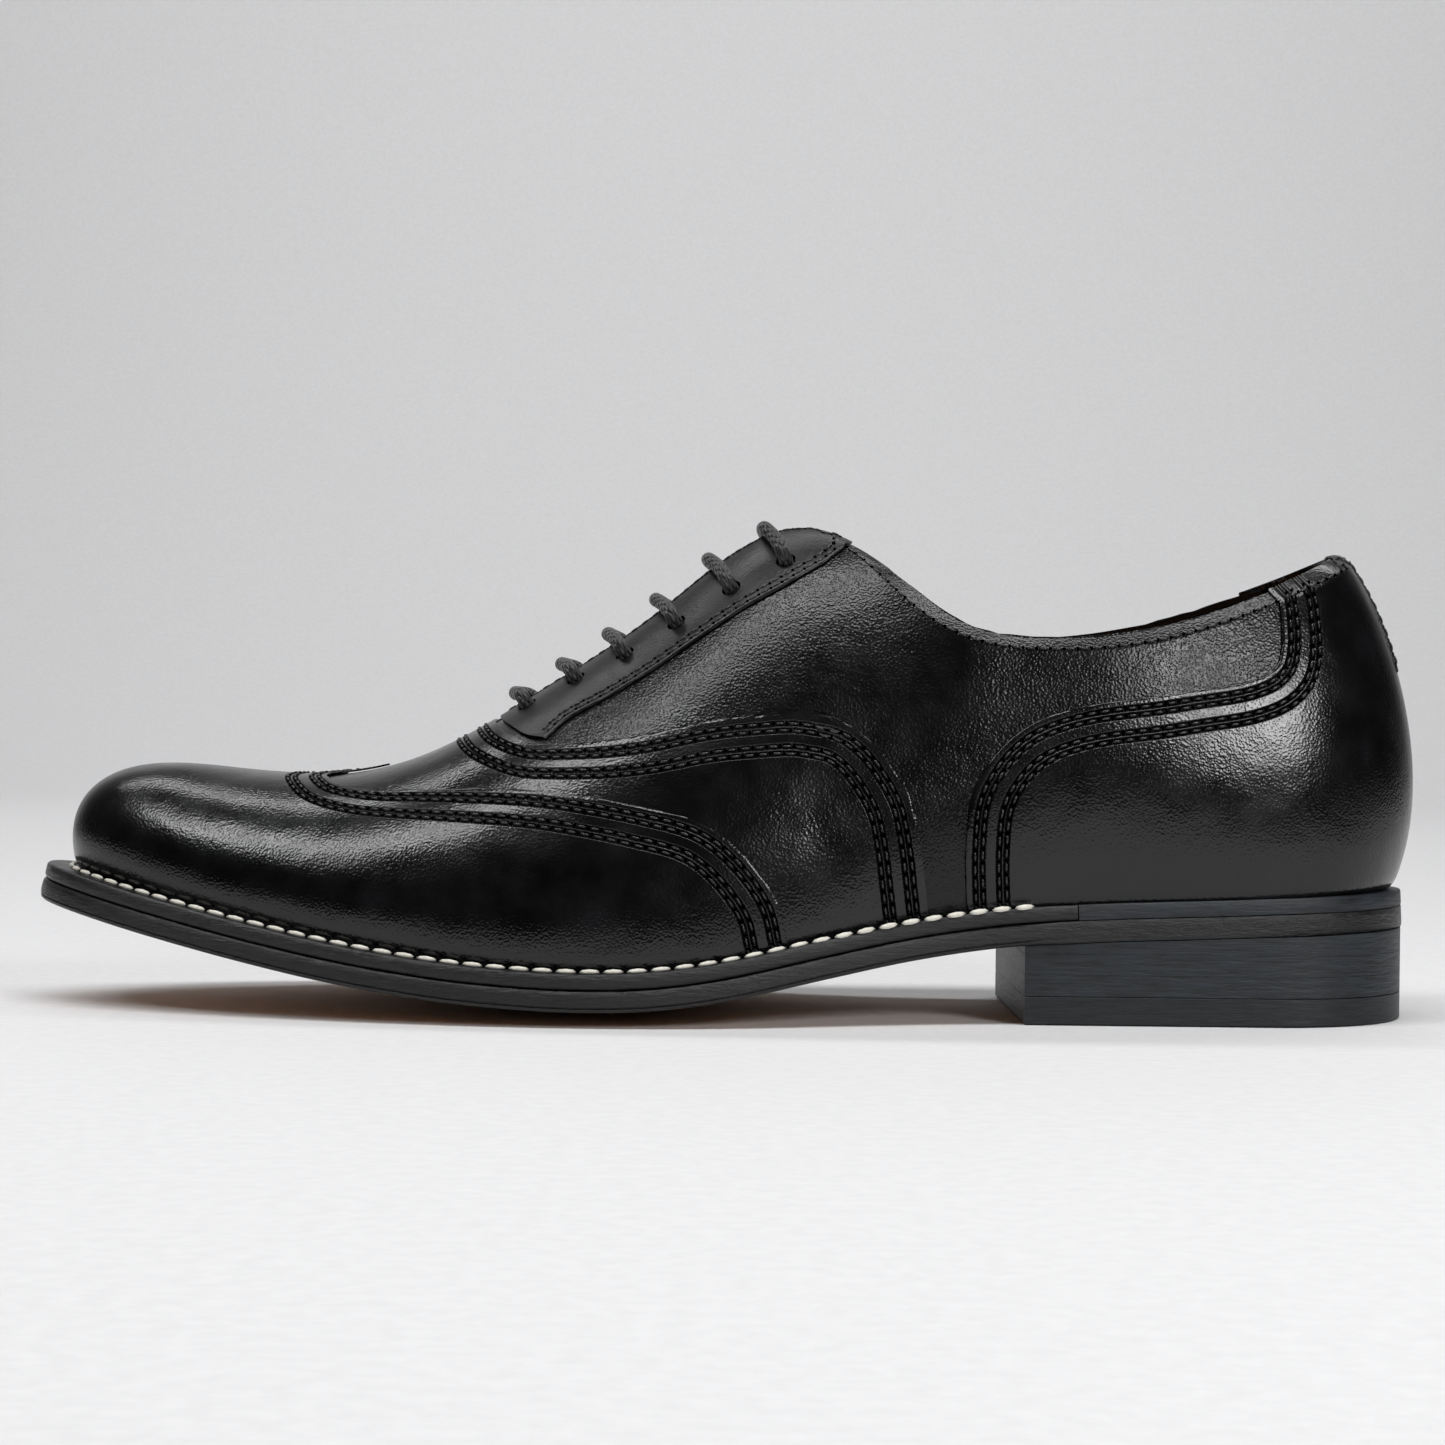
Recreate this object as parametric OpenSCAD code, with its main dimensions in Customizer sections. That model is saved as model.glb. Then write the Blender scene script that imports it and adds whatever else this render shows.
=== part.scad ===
// Wingtip oxford shoe, left foot, Goodyear welted, on a stacked leather heel.
// Toe towards -X, heel towards +X, outer (lateral) side towards -Y, up is +Z.
// The origin is on the floor under the middle of the shoe. Millimetres.

/* [Overall] */
// Length of the upper and sole, heel to toe, in per cent of a 305 mm shoe
length_pct = 100; // [94:1:106]
// Width of the shoe in per cent of a 106 mm ball
width_pct = 100; // [94:1:106]
// Height of the upper above the welt in per cent
upper_pct = 100; // [95:1:105]

/* [Sole] */
// Thickness of the leather outsole
outsole_t = 4.5; // [4:0.1:5]
// Thickness of the welt
welt_t = 3.5; // [3:0.1:4]
// Thickness of the insole board
insole_t = 2.4; // [2:0.1:3]
// Half width of the stacked heel
heel_hw = 33.5; // [31:0.5:35]
// Front face of the heel, measured from the middle of the shoe
heel_breast = 63.5; // [60:0.5:68]
// Thickness of the top piece that meets the floor
top_piece_t = 6; // [5:0.5:7]
// Thickness of each full lift
lift_t = 4.5; // [4:0.1:4.7]

/* [Upper] */
// Thickness of the leather lining
lining_t = 0.8; // [0.7:0.1:0.9]
// Thickness of the stiffening layer between lining and outer leather
stiffener_t = 0.45; // [0.3:0.05:0.5]
// Outer face of the quarter leather above the last
quarter_face = 2.6; // [2.4:0.1:2.6]
// Outer face of the vamp, counter and facing leather above the last
vamp_face = 3.4; // [3.2:0.1:3.4]
// Outer face of the wing cap above the last
cap_face = 4.1; // [4:0.1:4.3]
// Half of the gap between the facings, as a part of the girth
facing_gap = 0.035; // [0.02:0.005:0.05]

/* [Lacing] */
// Diameter of the round waxed lace
lace_d = 3.2; // [2.8:0.1:3.4]
// Radius of the hole punched in the facing
hole_r = 2.2; // [2.1:0.05:2.3]
// Radius of the flange of the blind eyelet inside
flange_r = 3.4; // [3:0.1:3.6]

/* [Tongue] */
// Thickness of the tongue leather
tongue_t = 1.2; // [1:0.1:1.4]
// Thickness of the tongue lining
tongue_lining_t = 0.8; // [0.6:0.1:0.9]

/* [Hidden] */
$fn = 48;
sx = length_pct / 100;
sy = width_pct / 100;
sz = upper_pct / 100;
// The control rows are drawn about the heel seat, this moves them to the middle of the shoe.
dx = -1.19;
dy = 0.54;
sole_t = welt_t + outsole_t + 0.2;
black = [0.06, 0.06, 0.065];
soft_black = [0.11, 0.11, 0.12];
tan = [0.72, 0.53, 0.34];
cream = [0.9, 0.87, 0.78];

// Ribs 0 to 14 run from the back of the heel to the toe.
// Feather line of the last at each rib: x, outer side y, inner side y.
PLAN = [[145.3, 0, 0], [140.5, -14.5, 14.5], [128, -25, 24.5], [108, -29, 28], [85, -30, 27.5],
  [60, -31.5, 26.5], [35, -35, 27.5], [10, -40.5, 32], [-15, -44, 39], [-40, -43.5, 43],
  [-65, -39.5, 41.5], [-90, -32.5, 36], [-113, -23.5, 28], [-130, -13, 17.5], [-139.4, 1.5, 1.5]];
// Topline at the back and ridge at the front, outer side: x, y, z.
CREST_O = [[136.3, 0, 98.6], [133.8, -8.5, 97.4], [124.5, -16, 93], [108, -22.3, 86.6], [86, -27.3, 81],
  [62, -28, 80.2], [43, -23.5, 88], [17, -3, 103.5], [-12, 0, 86.3], [-38, 0, 67.6], [-62, 0, 53.3],
  [-84, 0, 47.3], [-102, 0, 47.2], [-113, 0, 48.2], [-119, 0.5, 48.6]];
// The same on the inner side, which is a little higher at the ankle.
CREST_I = [[136.3, 0, 98.6], [133.8, 8.5, 97.5], [124.5, 16, 93.5], [108, 22, 87.7], [86, 26, 82.4],
  [62, 26, 81.6], [43, 22, 89.4], [17, 3, 103.5], [-12, 0, 86.3], [-38, 0, 67.6], [-62, 0, 53.3],
  [-84, 0, 47.3], [-102, 0, 47.2], [-113, 0, 48.2], [-119, 0.5, 48.6]];
// Handles of each rib: outward and upward at the feather, outward and downward at the crest.
HANDLE = [[10.7, 18, 12.7, 17.6], [8, 18, 10, 18], [5.5, 19, 8, 20], [4.5, 20, 6, 22], [4, 20, 5, 22],
  [4, 20, 5, 20], [4, 21, 8, 22], [4, 22, 20, 6], [4.5, 20, 24, 3], [5, 18, 25, 1.5], [6, 17, 24, 0.5],
  [6, 16, 20, 0], [6, 15, 17, 0], [5.5, 14, 18, -0.4], [5, 14.5, 18, -0.8]];
// How far the sole edge stands outside the feather at each rib, outer and inner side.
EDGE_O = [6, 5.4, 4.8, 4.4, 4.4, 4.8, 5.6, 7.2, 8.4, 8.8, 9, 9.4, 9.8, 10.4, 10.8];
EDGE_I = [6, 5.4, 4.8, 4.4, 4.2, 4.2, 4.6, 6, 7.8, 8.6, 9, 9.4, 9.8, 10.4, 10.8];
// Height of the bottom edge of the sole: x, z.
SOLE = [[-160, 24.6], [-140, 20.3], [-120, 15.8], [-100, 11.5], [-80, 7.7], [-60, 4.9], [-45, 3.6],
  [-30, 3], [-15, 3.4], [0, 5.3], [20, 9.5], [40, 13.5], [60, 16.3], [80, 17.6], [105, 18.5],
  [130, 19.4], [160, 20.4]];

// Panel edges as [rib, girth], where girth is 1 at the feather and 0 at the ridge or topline.
WING = [[6.85, 1], [6.95, 0.89], [7.2, 0.79], [7.6, 0.69], [8.1, 0.61], [8.7, 0.53], [9.3, 0.46],
  [9.9, 0.39], [10.4, 0.335], [10.75, 0.27], [10.95, 0.18], [11.05, 0.1], [10.9, 0.045], [10.5, 0]];
VAMP_EDGE = [[5.65, 1], [5.72, 0.87], [5.8, 0.74], [5.95, 0.6], [6.2, 0.52], [6.5, 0.495], [6.9, 0.51],
  [7.3, 0.508], [7.8, 0.472], [8.3, 0.43], [8.75, 0.38], [9.02, 0.335], [9.25, 0.24], [9.38, 0.12], [9.45, 0]];
COUNTER_EDGE = [[5.32, 1], [5.38, 0.76], [5.37, 0.56], [5.15, 0.4], [4.75, 0.28], [4.2, 0.21], [3.5, 0.21],
  [2.85, 0.24], [2.5, 0.225], [2.38, 0.15], [2.35, 0]];
FACING_SEAM = [[8.9, 0.34], [8.72, 0.3], [8.4, 0.29], [7.95, 0.28], [7.5, 0.27], [7.15, 0.24], [6.88, 0.16], [6.7, 0.05]];
LINING_JOIN = [[7.5, 1], [8, 0.6], [8.8, 0.3], [9.42, 0]];
// Eyelets from the throat to the top: rib, girth.
EYELETS = [[9.1, 0.13], [8.69, 0.14], [8.29, 0.165], [7.9, 0.18], [7.51, 0.19], [7.13, 0.165]];

function mix(a, b, f) = a + (b - a) * f;
function clamp(x, a = 0, b = 1) = min(max(x, a), b);
function unit(v) = norm(v) < 1e-9 ? [0, 0, 1] : v / norm(v);
function ease(x) = clamp(x) * clamp(x) * (3 - 2 * clamp(x));
// Smooth curve through rows, each a vector, at index t. The list has one extra row at each end.
function through(E, t) =
  let(n = len(E) - 3, s = clamp(t, 0, n - 1e-9), i = floor(s), f = s - i,
    a = E[i], b = E[i + 1], c = E[i + 2], d = E[i + 3])
  0.5 * (2 * b + (c - a) * f + (2 * a - 5 * b + 4 * c - d) * f * f + (3 * b - a - 3 * c + d) * f * f * f);
// The same for a list without the extra rows.
function curve(P, t) = through(concat([2 * P[0] - P[1]], P, [2 * P[len(P) - 1] - P[len(P) - 2]]), t);
function along(P, f) = curve(P, f * (len(P) - 1));

function side(w) = w < 0 ? 1 : 2;
PLAN_O = [for (p = PLAN) [p[0] * sx, p[1] * sy]];
PLAN_I = [for (p = PLAN) [p[0] * sx, p[2] * sy]];
function grow(P) = [for (p = P) [p[0] * sx, p[1] * sy, 28 + (p[2] - 28) * sz]];
TOP_O = grow(CREST_O);
TOP_I = grow(CREST_I);
PLAN_OX = concat([PLAN_I[1]], PLAN_O, [PLAN_I[13]]);
PLAN_IX = concat([PLAN_O[1]], PLAN_I, [PLAN_O[13]]);
TOP_OX = concat([TOP_I[1]], TOP_O, [2 * TOP_O[14] - TOP_O[13]]);
TOP_IX = concat([TOP_O[1]], TOP_I, [2 * TOP_I[14] - TOP_I[13]]);
HANDLE_X = concat([HANDLE[1]], HANDLE, [HANDLE[13]]);
function plan(t, w) = w < 0 ? through(PLAN_OX, t) : through(PLAN_IX, t);
function crest(t, w) = w < 0 ? through(TOP_OX, t) : through(TOP_IX, t);
function edge(t, w) = lookup(t, [for (i = [0:14]) [i, w < 0 ? EDGE_O[i] : EDGE_I[i]]]);

// Sole curve: a smooth height over x, its slope, and the drop in the middle of the tread.
function seg(x, i = 0) = i >= len(SOLE) - 2 || SOLE[i + 1][0] > x ? i : seg(x, i + 1);
function tangent(i) = i == 0 ? (SOLE[1][1] - SOLE[0][1]) / (SOLE[1][0] - SOLE[0][0]) :
  i == len(SOLE) - 1 ? (SOLE[i][1] - SOLE[i - 1][1]) / (SOLE[i][0] - SOLE[i - 1][0]) :
  (SOLE[i + 1][1] - SOLE[i - 1][1]) / (SOLE[i + 1][0] - SOLE[i - 1][0]);
function sole_z(xr) =
  let(x = clamp(xr / sx, -159.9, 159.9), i = seg(x), h = SOLE[i + 1][0] - SOLE[i][0], s = (x - SOLE[i][0]) / h)
  (2 * s * s * s - 3 * s * s + 1) * SOLE[i][1] + (s * s * s - 2 * s * s + s) * h * tangent(i)
  + (3 * s * s - 2 * s * s * s) * SOLE[i + 1][1] + (s * s * s - s * s) * h * tangent(i + 1);
function slope(x) = (sole_z(x + 1) - sole_z(x - 1)) / 2;
function crown(x) = 3 * exp(-pow((x / sx + 28) / 45, 2));
// A point of the sole stack at depth d below the welt, f is 0 to 1 across the foot.
function stack(p, d, drop = 0) =
  let(s = slope(p[0]), l = sqrt(1 + s * s))
  [p[0] + dx + s / l * d, p[1] + dy, sole_z(p[0]) + sole_t - d / l - drop];

// Outward direction of the feather line, level with the floor.
function outward(t, w) =
  t < 0.01 ? [1, 0] : t > 13.99 ? [-1, 0] :
  let(d = unit(plan(t + 0.01, w) - plan(t - 0.01, w)), n = [d[1], -d[0]])
  n[1] * w < 0 ? -n : n;
// A rib of the last is a cubic from the feather to the crest, w runs -1 to 1 across the foot.
function rib(t, w) =
  t < 0 ? rib(-t, -w) : t > 14 ? rib(28 - t, -w) :
  let(p = plan(t, w), f = [p[0], p[1], sole_z(p[0]) + sole_t], c = crest(t, w), h = through(HANDLE_X, t),
    o = outward(t, w), v = 1 - abs(w), u = 1 - v,
    a = f + [o[0] * h[0], o[1] * h[0], h[1] * sz], b = c + [o[0] * h[2], o[1] * h[2], -h[3] * sz])
  u * u * u * f + 3 * u * u * v * a + 3 * u * v * v * b + v * v * v * c + [dx, dy, 0];
function facing_normal(t, w) =
  let(e = 0.01, du = rib(t + e, w) - rib(t - e, w),
    dv = rib(t, min(w + e, 1)) - rib(t, max(w - e, -1)), n = unit(cross(du, dv)), p = rib(t, w),
    m = p - [clamp(p[0], -110, 110), dy, 35])
  t > 13.995 && abs(w) < 0.005 ? [0, 0, 1] : n * m < 0 ? -n : n;
// Near the feather the layers stand level, so that they sit on the welt.
function lift(t, w) =
  let(o = outward(t, w), k = ease((1 - abs(w)) / 0.12))
  unit(mix([o[0], o[1], 0], facing_normal(t, w), k));
// A point of the upper at a height above the last.
function on(t, w, h) =
  let(p = rib(t, w), q = p + lift(t, w) * h, g = ease((1 - abs(w)) / 0.12))
  [q[0], q[1], mix(sole_z(q[0] - dx) + sole_t + 0.15, q[2], max(g, abs(w) > 0.999 ? 0 : g)) + (1 - g) * (1 - abs(w)) * 30];

// Four sided patch between curves in rib and girth: front A, back B, low S, high T.
function coons(A, B, S, T, a, b) =
  (1 - a) * along(A, b) + a * along(B, b) + (1 - b) * along(S, a) + b * along(T, a)
  - (1 - a) * (1 - b) * A[0] - a * (1 - b) * B[0] - (1 - a) * b * A[len(A) - 1] - a * b * B[len(B) - 1];
function chart(A, B, S, T, na, nb) = [for (i = [0:na]) [for (j = [0:nb]) coons(A, B, S, T, i / na, j / nb)]];
// Grid of points on one side, s is -1 outer or 1 inner, with one height for each row.
function sheet(G, s, H) = [for (i = [0:len(G) - 1]) [for (q = G[i]) on(q[0], s * max(q[1], 1e-5), is_list(H) ? H[i] : H)]];
// The same across the ridge: outer side, ridge, inner side.
function across(G, H) = [for (i = [0:len(G) - 1])
  let(n = len(G[i]) - 1, h = is_list(H) ? H[i] : H)
  concat([for (j = [0:n]) on(G[i][j][0], -G[i][j][1] - 1e-6, h)], [for (j = [n - 1:-1:0]) on(G[i][j][0], G[i][j][1], h)])];

function swept(F, P) = [for (f = F) P[f[0]] * cross(P[f[1]], P[f[2]])];
function total(L, i = 0, s = 0) = i >= len(L) ? s : total(L, i + 1, s + L[i]);
// Closed solid between two grids of the same size. With fold, the last row is folded on itself.
module skin(I, O, fold = false) {
  na = len(I) - 1;
  nc = len(I[0]) - 1;
  P = concat([for (r = I) each r], [for (r = O) each r]);
  m = (na + 1) * (nc + 1);
  function id(i, j, k) = k * m + i * (nc + 1) + (fold && i == na ? min(j, nc - j) : j);
  function quad(a, b, c, d) = [[a, b, c], [a, c, d]];
  F = concat(
    [for (i = [0:na - 1], j = [0:nc - 1]) each quad(id(i, j, 1), id(i + 1, j, 1), id(i + 1, j + 1, 1), id(i, j + 1, 1))],
    [for (i = [0:na - 1], j = [0:nc - 1]) each quad(id(i, j, 0), id(i, j + 1, 0), id(i + 1, j + 1, 0), id(i + 1, j, 0))],
    [for (i = [0:na - 1]) each quad(id(i, 0, 0), id(i + 1, 0, 0), id(i + 1, 0, 1), id(i, 0, 1))],
    [for (i = [0:na - 1]) each quad(id(i, nc, 1), id(i + 1, nc, 1), id(i + 1, nc, 0), id(i, nc, 0))],
    [for (j = [0:nc - 1]) each quad(id(0, j, 1), id(0, j + 1, 1), id(0, j + 1, 0), id(0, j, 0))],
    fold ? [] : [for (j = [0:nc - 1]) each quad(id(na, j, 0), id(na, j + 1, 0), id(na, j + 1, 1), id(na, j, 1))]);
  v = total(swept(F, P));
  polyhedron(points = P, faces = v < 0 ? F : [for (f = F) [f[0], f[2], f[1]]], convexity = 6);
}

// Closed solid through rings of the same count of points, capped at both ends.
module loft(R) {
  n = len(R) - 1;
  c = len(R[0]);
  P = concat([for (r = R) each r], [total(R[0], 1, R[0][0]) / c, total(R[n], 1, R[n][0]) / c]);
  e = (n + 1) * c;
  F = concat(
    [for (i = [0:n - 1], j = [0:c - 1]) let(k = (j + 1) % c)
      each [[i * c + j, i * c + k, (i + 1) * c + k], [i * c + j, (i + 1) * c + k, (i + 1) * c + j]]],
    [for (j = [0:c - 1]) [e, (j + 1) % c, j]],
    [for (j = [0:c - 1]) [e + 1, n * c + j, n * c + (j + 1) % c]]);
  v = total(swept(F, P));
  polyhedron(points = P, faces = v < 0 ? F : [for (f = F) [f[0], f[2], f[1]]], convexity = 6);
}

// Flat layer of the sole: inset from the feather, between two depths, from rib t0 to t1.
module layer(inset, d0, d1, t0, t1, n, reach = 0, flat = 1) {
  T = [for (i = [0:n]) mix(t0, t1, 0.5 - 0.5 * cos(180 * i / n))];
  m = 8;
  function row(t, d) = [for (j = [0:m])
    let(k = 2 * j / m - 1, e = reach > 0 ? reach : 0,
      a = plan(t, -1) + outward(t, -1) * (e * edge(t, -1) - inset),
      b = plan(t, 1) + outward(t, 1) * (e * edge(t, 1) - inset),
      g = k / flat, p = mix(a, b, j / m))
    stack(p, d, crown(p[0]) * max(0, 1 - g * g))];
  skin([for (t = T) row(t, d1)], [for (t = T) row(t, d0)]);
}

// Strip along the feather line from rib t0 round the toe or the heel to the other side.
function loop(t0, end, n) = [for (i = [-n:n]) let(f = abs(i) / n)
  [mix(end, t0, end == 14 ? pow(f, 1.25) : f), i < 0 ? -1 : 1]];
module strip(t0, end, n, in0, out0, d0, d1, reach = 1, skive = 0) {
  loft([for (q = loop(t0, end, n))
    let(t = q[0], w = q[1], p = plan(t, w), o = outward(t, w), x = reach * edge(t, w) + out0,
      k = skive * (1 - clamp(abs(t - t0) / 0.35)))
    [stack(p + o * in0, d0 + k), stack(p + o * x, d0 + k), stack(p + o * x, d1), stack(p + o * in0, d1)]]);
}

// ---- sole ----
module outsole() color(black) layer(0, welt_t + 0.1, sole_t, 0.12, 13.9, 34, 1, 0.83);
module welt() color(black) strip(4.45, 14, 34, -0.6, 0, 0, welt_t, 1, 2.6);
module heel_rand() color(black) strip(4.38, 0, 16, -0.6, 0, 0, welt_t);
module cork_filler() color([0.55, 0.36, 0.2]) layer(6.4, insole_t + 0.1, welt_t - 0.2, 6.6, 13.6, 18, 0, 1.2);
module insole() color(tan) layer(1.5, -0.3, insole_t - 0.4, 0.15, 13.85, 30);
module insole_rib() color(cream) strip(5.2, 14, 22, -4.9, -3.5, insole_t + 0.3, welt_t - 0.1, 0);
module sock_lining() color(tan) layer(2.1, -1.3, -0.45, 0.2, 5.2, 10);
module welt_stitching() color(cream) {
  loft([for (q = loop(4.85, 14, 36))
    let(t = q[0], w = q[1], p = plan(t, w), o = outward(t, w))
    [stack(p + o * 5.2, -0.06), stack(p + o * 6.2, -0.06), stack(p + o * 6, -0.6), stack(p + o * 5.4, -0.6)]]);
}
module shank() color([0.6, 0.62, 0.64]) {
  loft([for (i = [0:14]) let(x = mix(28, 112, i / 14), h = i == 0 || i == 14 ? 4 : 6.5)
    [for (c = [[-h, 2.3], [h, 2.3], [h, 3.3], [-h, 3.3]]) stack([x * sx, c[0] - 1], c[1], crown(x * sx))]]);
}

// ---- heel ----
heel_r = 34;
module heel_outline() {
  r = heel_hw;
  intersection() {
    translate([heel_breast, -60]) square([120, 120]);
    hull() {
      translate([151.3 * sx - heel_r + dx, 0.3 + dy]) circle(r = heel_r, $fn = 96);
      translate([heel_breast - 10, -r - 0.8 + dy]) square([2, 2 * r - 2]);
    }
  }
}
module nail_holes(z, h, r) {
  for (i = [0:12]) {
    a = -105 + i * 17.5;
    translate([151.3 * sx - heel_r + dx + 26 * cos(a), 0.3 + dy + 26 * sin(a), z]) cylinder(r = r, h = h, $fn = 24);
  }
  for (i = [0:4]) translate([heel_breast + 8, -22 + i * 11, z]) cylinder(r = r, h = h, $fn = 24);
}
z1 = top_piece_t;
z2 = z1 + lift_t;
z3 = z2 + lift_t;
module top_piece() color(soft_black) difference() {
  linear_extrude(z1) heel_outline();
  nail_holes(-1, 9, 0.95);
}
module heel_lift_3() color(soft_black) difference() {
  translate([0, 0, z1 + 0.02]) linear_extrude(lift_t - 0.04) heel_outline();
  nail_holes(z1 - 1, 3.2, 0.95);
}
module heel_lift_2() color(soft_black) translate([0, 0, z2]) linear_extrude(lift_t - 0.02) heel_outline();
module heel_lift_1() color(soft_black) intersection() {
  translate([0, 0, z3]) linear_extrude(20) heel_outline();
  translate([0, 50, 0]) rotate([90, 0, 0]) linear_extrude(100)
    polygon(concat([[200, 0], [40, 0]], [for (x = [40:10:200]) [x, sole_z(x - dx) - 0.12]]));
}
module heel_nails() color([0.7, 0.6, 0.35]) nail_holes(0.1, 8, 0.85);

// ---- upper ----
m0 = 1.75;
lap = vamp_face - 0.6;
function rib_line(t, g0 = 1, g1 = 0) = [[t, g0], [t, mix(g0, g1, 0.5)], [t, g1]];
function line(a, b) = [a, (a + b) / 2, b];
function top_line(t) = facing_gap * clamp(t - 7);
FOUR = [[9.42, top_line(9.42)], [8.9, top_line(8.9)], [8.4, top_line(8.4)], [8, top_line(8)], [7.5, top_line(7.5)],
  [7, 0], [6.5, 0], [5.8, 0], [5, 0], [4, 0], [3, 0]];
function first(P) = P[0];
function last(P) = P[len(P) - 1];
function shift(P, d) = [for (p = P) p + [d * (1 - 0.4 * p[1]), 0]];

module toe_cap() color(black) {
  A = WING;
  B = rib_line(14);
  G = chart(A, B, line(first(A), first(B)), line(last(A), last(B)), 15, 13);
  h = [for (i = [0:15]) i < 3 ? cap_face - 0.45 : m0];
  skin(across(G, h), across(G, cap_face), true);
}
module vamp() color(black) {
  A = shift(WING, 0.3);
  B = VAMP_EDGE;
  G = chart(A, B, line(first(A), first(B)), line(last(A), last(B)), 10, 16);
  h = [for (i = [0:10]) i > 7 ? lap : m0];
  skin(across(G, h), across(G, vamp_face));
}
module quarter(s) {
  A = shift(VAMP_EDGE, 0.3);
  A2 = [for (i = [0:len(A) - 1]) [A[i][0], max(A[i][1], top_line(9.6))]];
  B = shift(COUNTER_EDGE, -0.3);
  T = concat([last(A2)], [for (p = FOUR) if (p[0] < 9.5 && p[0] > 2.4) p], [last(B)]);
  G = chart(A2, B, line(first(A2), first(B)), T, 20, 14);
  skin(sheet(G, s, m0), sheet(G, s, quarter_face));
}
module quarter_lateral() color(soft_black) difference() {
  quarter(-1);
  punch(-1, 2.75);
}
module quarter_medial() color(soft_black) difference() {
  quarter(1);
  punch(1, 2.75);
}
module counter(s) {
  A = COUNTER_EDGE;
  B = rib_line(0.02);
  G = chart(A, B, line(first(A), first(B)), line(last(A), last(B)), 12, 12);
  h = [for (i = [0:12]) i < 3 ? lap : m0];
  skin(sheet(G, s, h), sheet(G, s, vamp_face));
}
module counter_lateral() color(black) counter(-1);
module counter_medial() color(black) counter(1);
module back_strap() {
  T = [-0.34, -0.17, 0.001, 0.17, 0.34];
  function row(t, h) = [for (j = [0:12]) on(abs(t), (t < 0 ? -1 : 1) * mix(0.35, 1e-5, j / 12), h)];
  color(black) skin([for (t = T) row(t, vamp_face + 0.2)], [for (t = T) row(t, vamp_face + 0.9)]);
}
module facing(s) {
  A = [[8.9, 0.34], [9.1, 0.28], [9.3, 0.15], [9.38, top_line(9.4)]];
  B = [[6.7, 0.05], [6.68, 0.03], [6.66, 0.001]];
  T = [[9.38, top_line(9.4)], [8.7, top_line(8.7)], [8, top_line(8)], [7.5, top_line(7.5)], [7, 0.002], [6.66, 0.001]];
  G = chart(A, B, FACING_SEAM, T, 20, 6);
  skin(sheet(G, s, quarter_face + 0.2), sheet(G, s, vamp_face));
}
module facing_lateral() color(soft_black) difference() {
  facing(-1);
  punch(-1, hole_r);
}
module facing_medial() color(soft_black) difference() {
  facing(1);
  punch(1, hole_r);
}

// ---- inside ----
module vamp_lining() color(tan) {
  A = LINING_JOIN;
  B = rib_line(14);
  G = chart(A, B, line(first(A), first(B)), line(last(A), last(B)), 15, 12);
  difference() {
    skin(across(G, 0), across(G, lining_t), true);
    punch(-1, 2.75);
    punch(1, 2.75);
  }
}
module quarter_lining(s) {
  A = [for (p = shift(LINING_JOIN, -0.03)) [p[0], max(p[1], top_line(9.6))]];
  B = rib_line(0.02);
  T = concat([last(A)], [for (p = FOUR) if (p[0] < 9.3) p], [[2, 0], [1, 0], [0.02, 0]]);
  G = chart(A, B, line(first(A), first(B)), T, 22, 10);
  skin(sheet(G, s, 0), sheet(G, s, lining_t));
}
module quarter_lining_lateral() color(tan) difference() {
  quarter_lining(-1);
  punch(-1, 2.75);
}
module quarter_lining_medial() color(tan) difference() {
  quarter_lining(1);
  punch(1, 2.75);
}
module heel_grip() {
  T = [-1.6, -1.2, -0.8, -0.4, 0.001, 0.4, 0.8, 1.2, 1.6];
  function row(t, h) = [for (j = [0:8]) on(abs(t), (t < 0 ? -1 : 1) * mix(0.7, 0.06, j / 8), h)];
  color([0.5, 0.42, 0.34]) skin([for (t = T) row(t, -1)], [for (t = T) row(t, -0.3)]);
}
module toe_puff() color(cream) {
  A = [[11.6, 1], [11.7, 0.6], [11.9, 0.3], [12, 0]];
  B = rib_line(14);
  G = chart(A, B, line(first(A), first(B)), line(last(A), last(B)), 8, 10);
  skin(across(G, lining_t + 0.22), across(G, lining_t + 0.02 + stiffener_t), true);
}
module counter_stiffener() {
  T = [for (i = [-12:12]) i == 0 ? 0.001 : i * 0.3];
  function row(t, h) = [for (j = [0:12]) on(abs(t), (t < 0 ? -1 : 1) * mix(1, mix(0.16, 0.42, abs(t) / 3.6), j / 12), h)];
  color(cream) skin([for (t = T) row(t, lining_t + 0.25)], [for (t = T) row(t, lining_t + 0.05 + stiffener_t)]);
}

// ---- tongue ----
// It hangs from the throat and drops to leave room for the lace under the facings.
TONGUE = [[9.52, 0.2], [9.3, 0.22], [9.05, 0.24], [8.8, 0.26], [8.4, 0.26], [8, 0.26], [7.6, 0.25], [7.3, 0.23], [7.1, 0.19], [6.98, 0.12]];
function tongue_h(t) = mix(-4.95, -0.55, ease((t - 8.95) / 0.5)) - 1.1 * ease((7.95 - t) / 0.4);
function tongue_row(q, h) = [for (k = [-1, -0.72, -0.44, -0.16, 0.16, 0.44, 0.72, 1]) on(q[0], k * q[1], tongue_h(q[0]) + h)];
module tongue() color(black) {
  skin([for (q = TONGUE) tongue_row(q, -tongue_t)], [for (q = TONGUE) tongue_row(q, 0)]);
}
module tongue_lining() color(tan) {
  Q = [for (q = TONGUE) [clamp(q[0], 7.02, 9.48), q[1] - 0.006]];
  skin([for (q = Q) tongue_row(q, -tongue_t - 0.15 - tongue_lining_t)], [for (q = Q) tongue_row(q, -tongue_t - 0.15)]);
}

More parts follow.
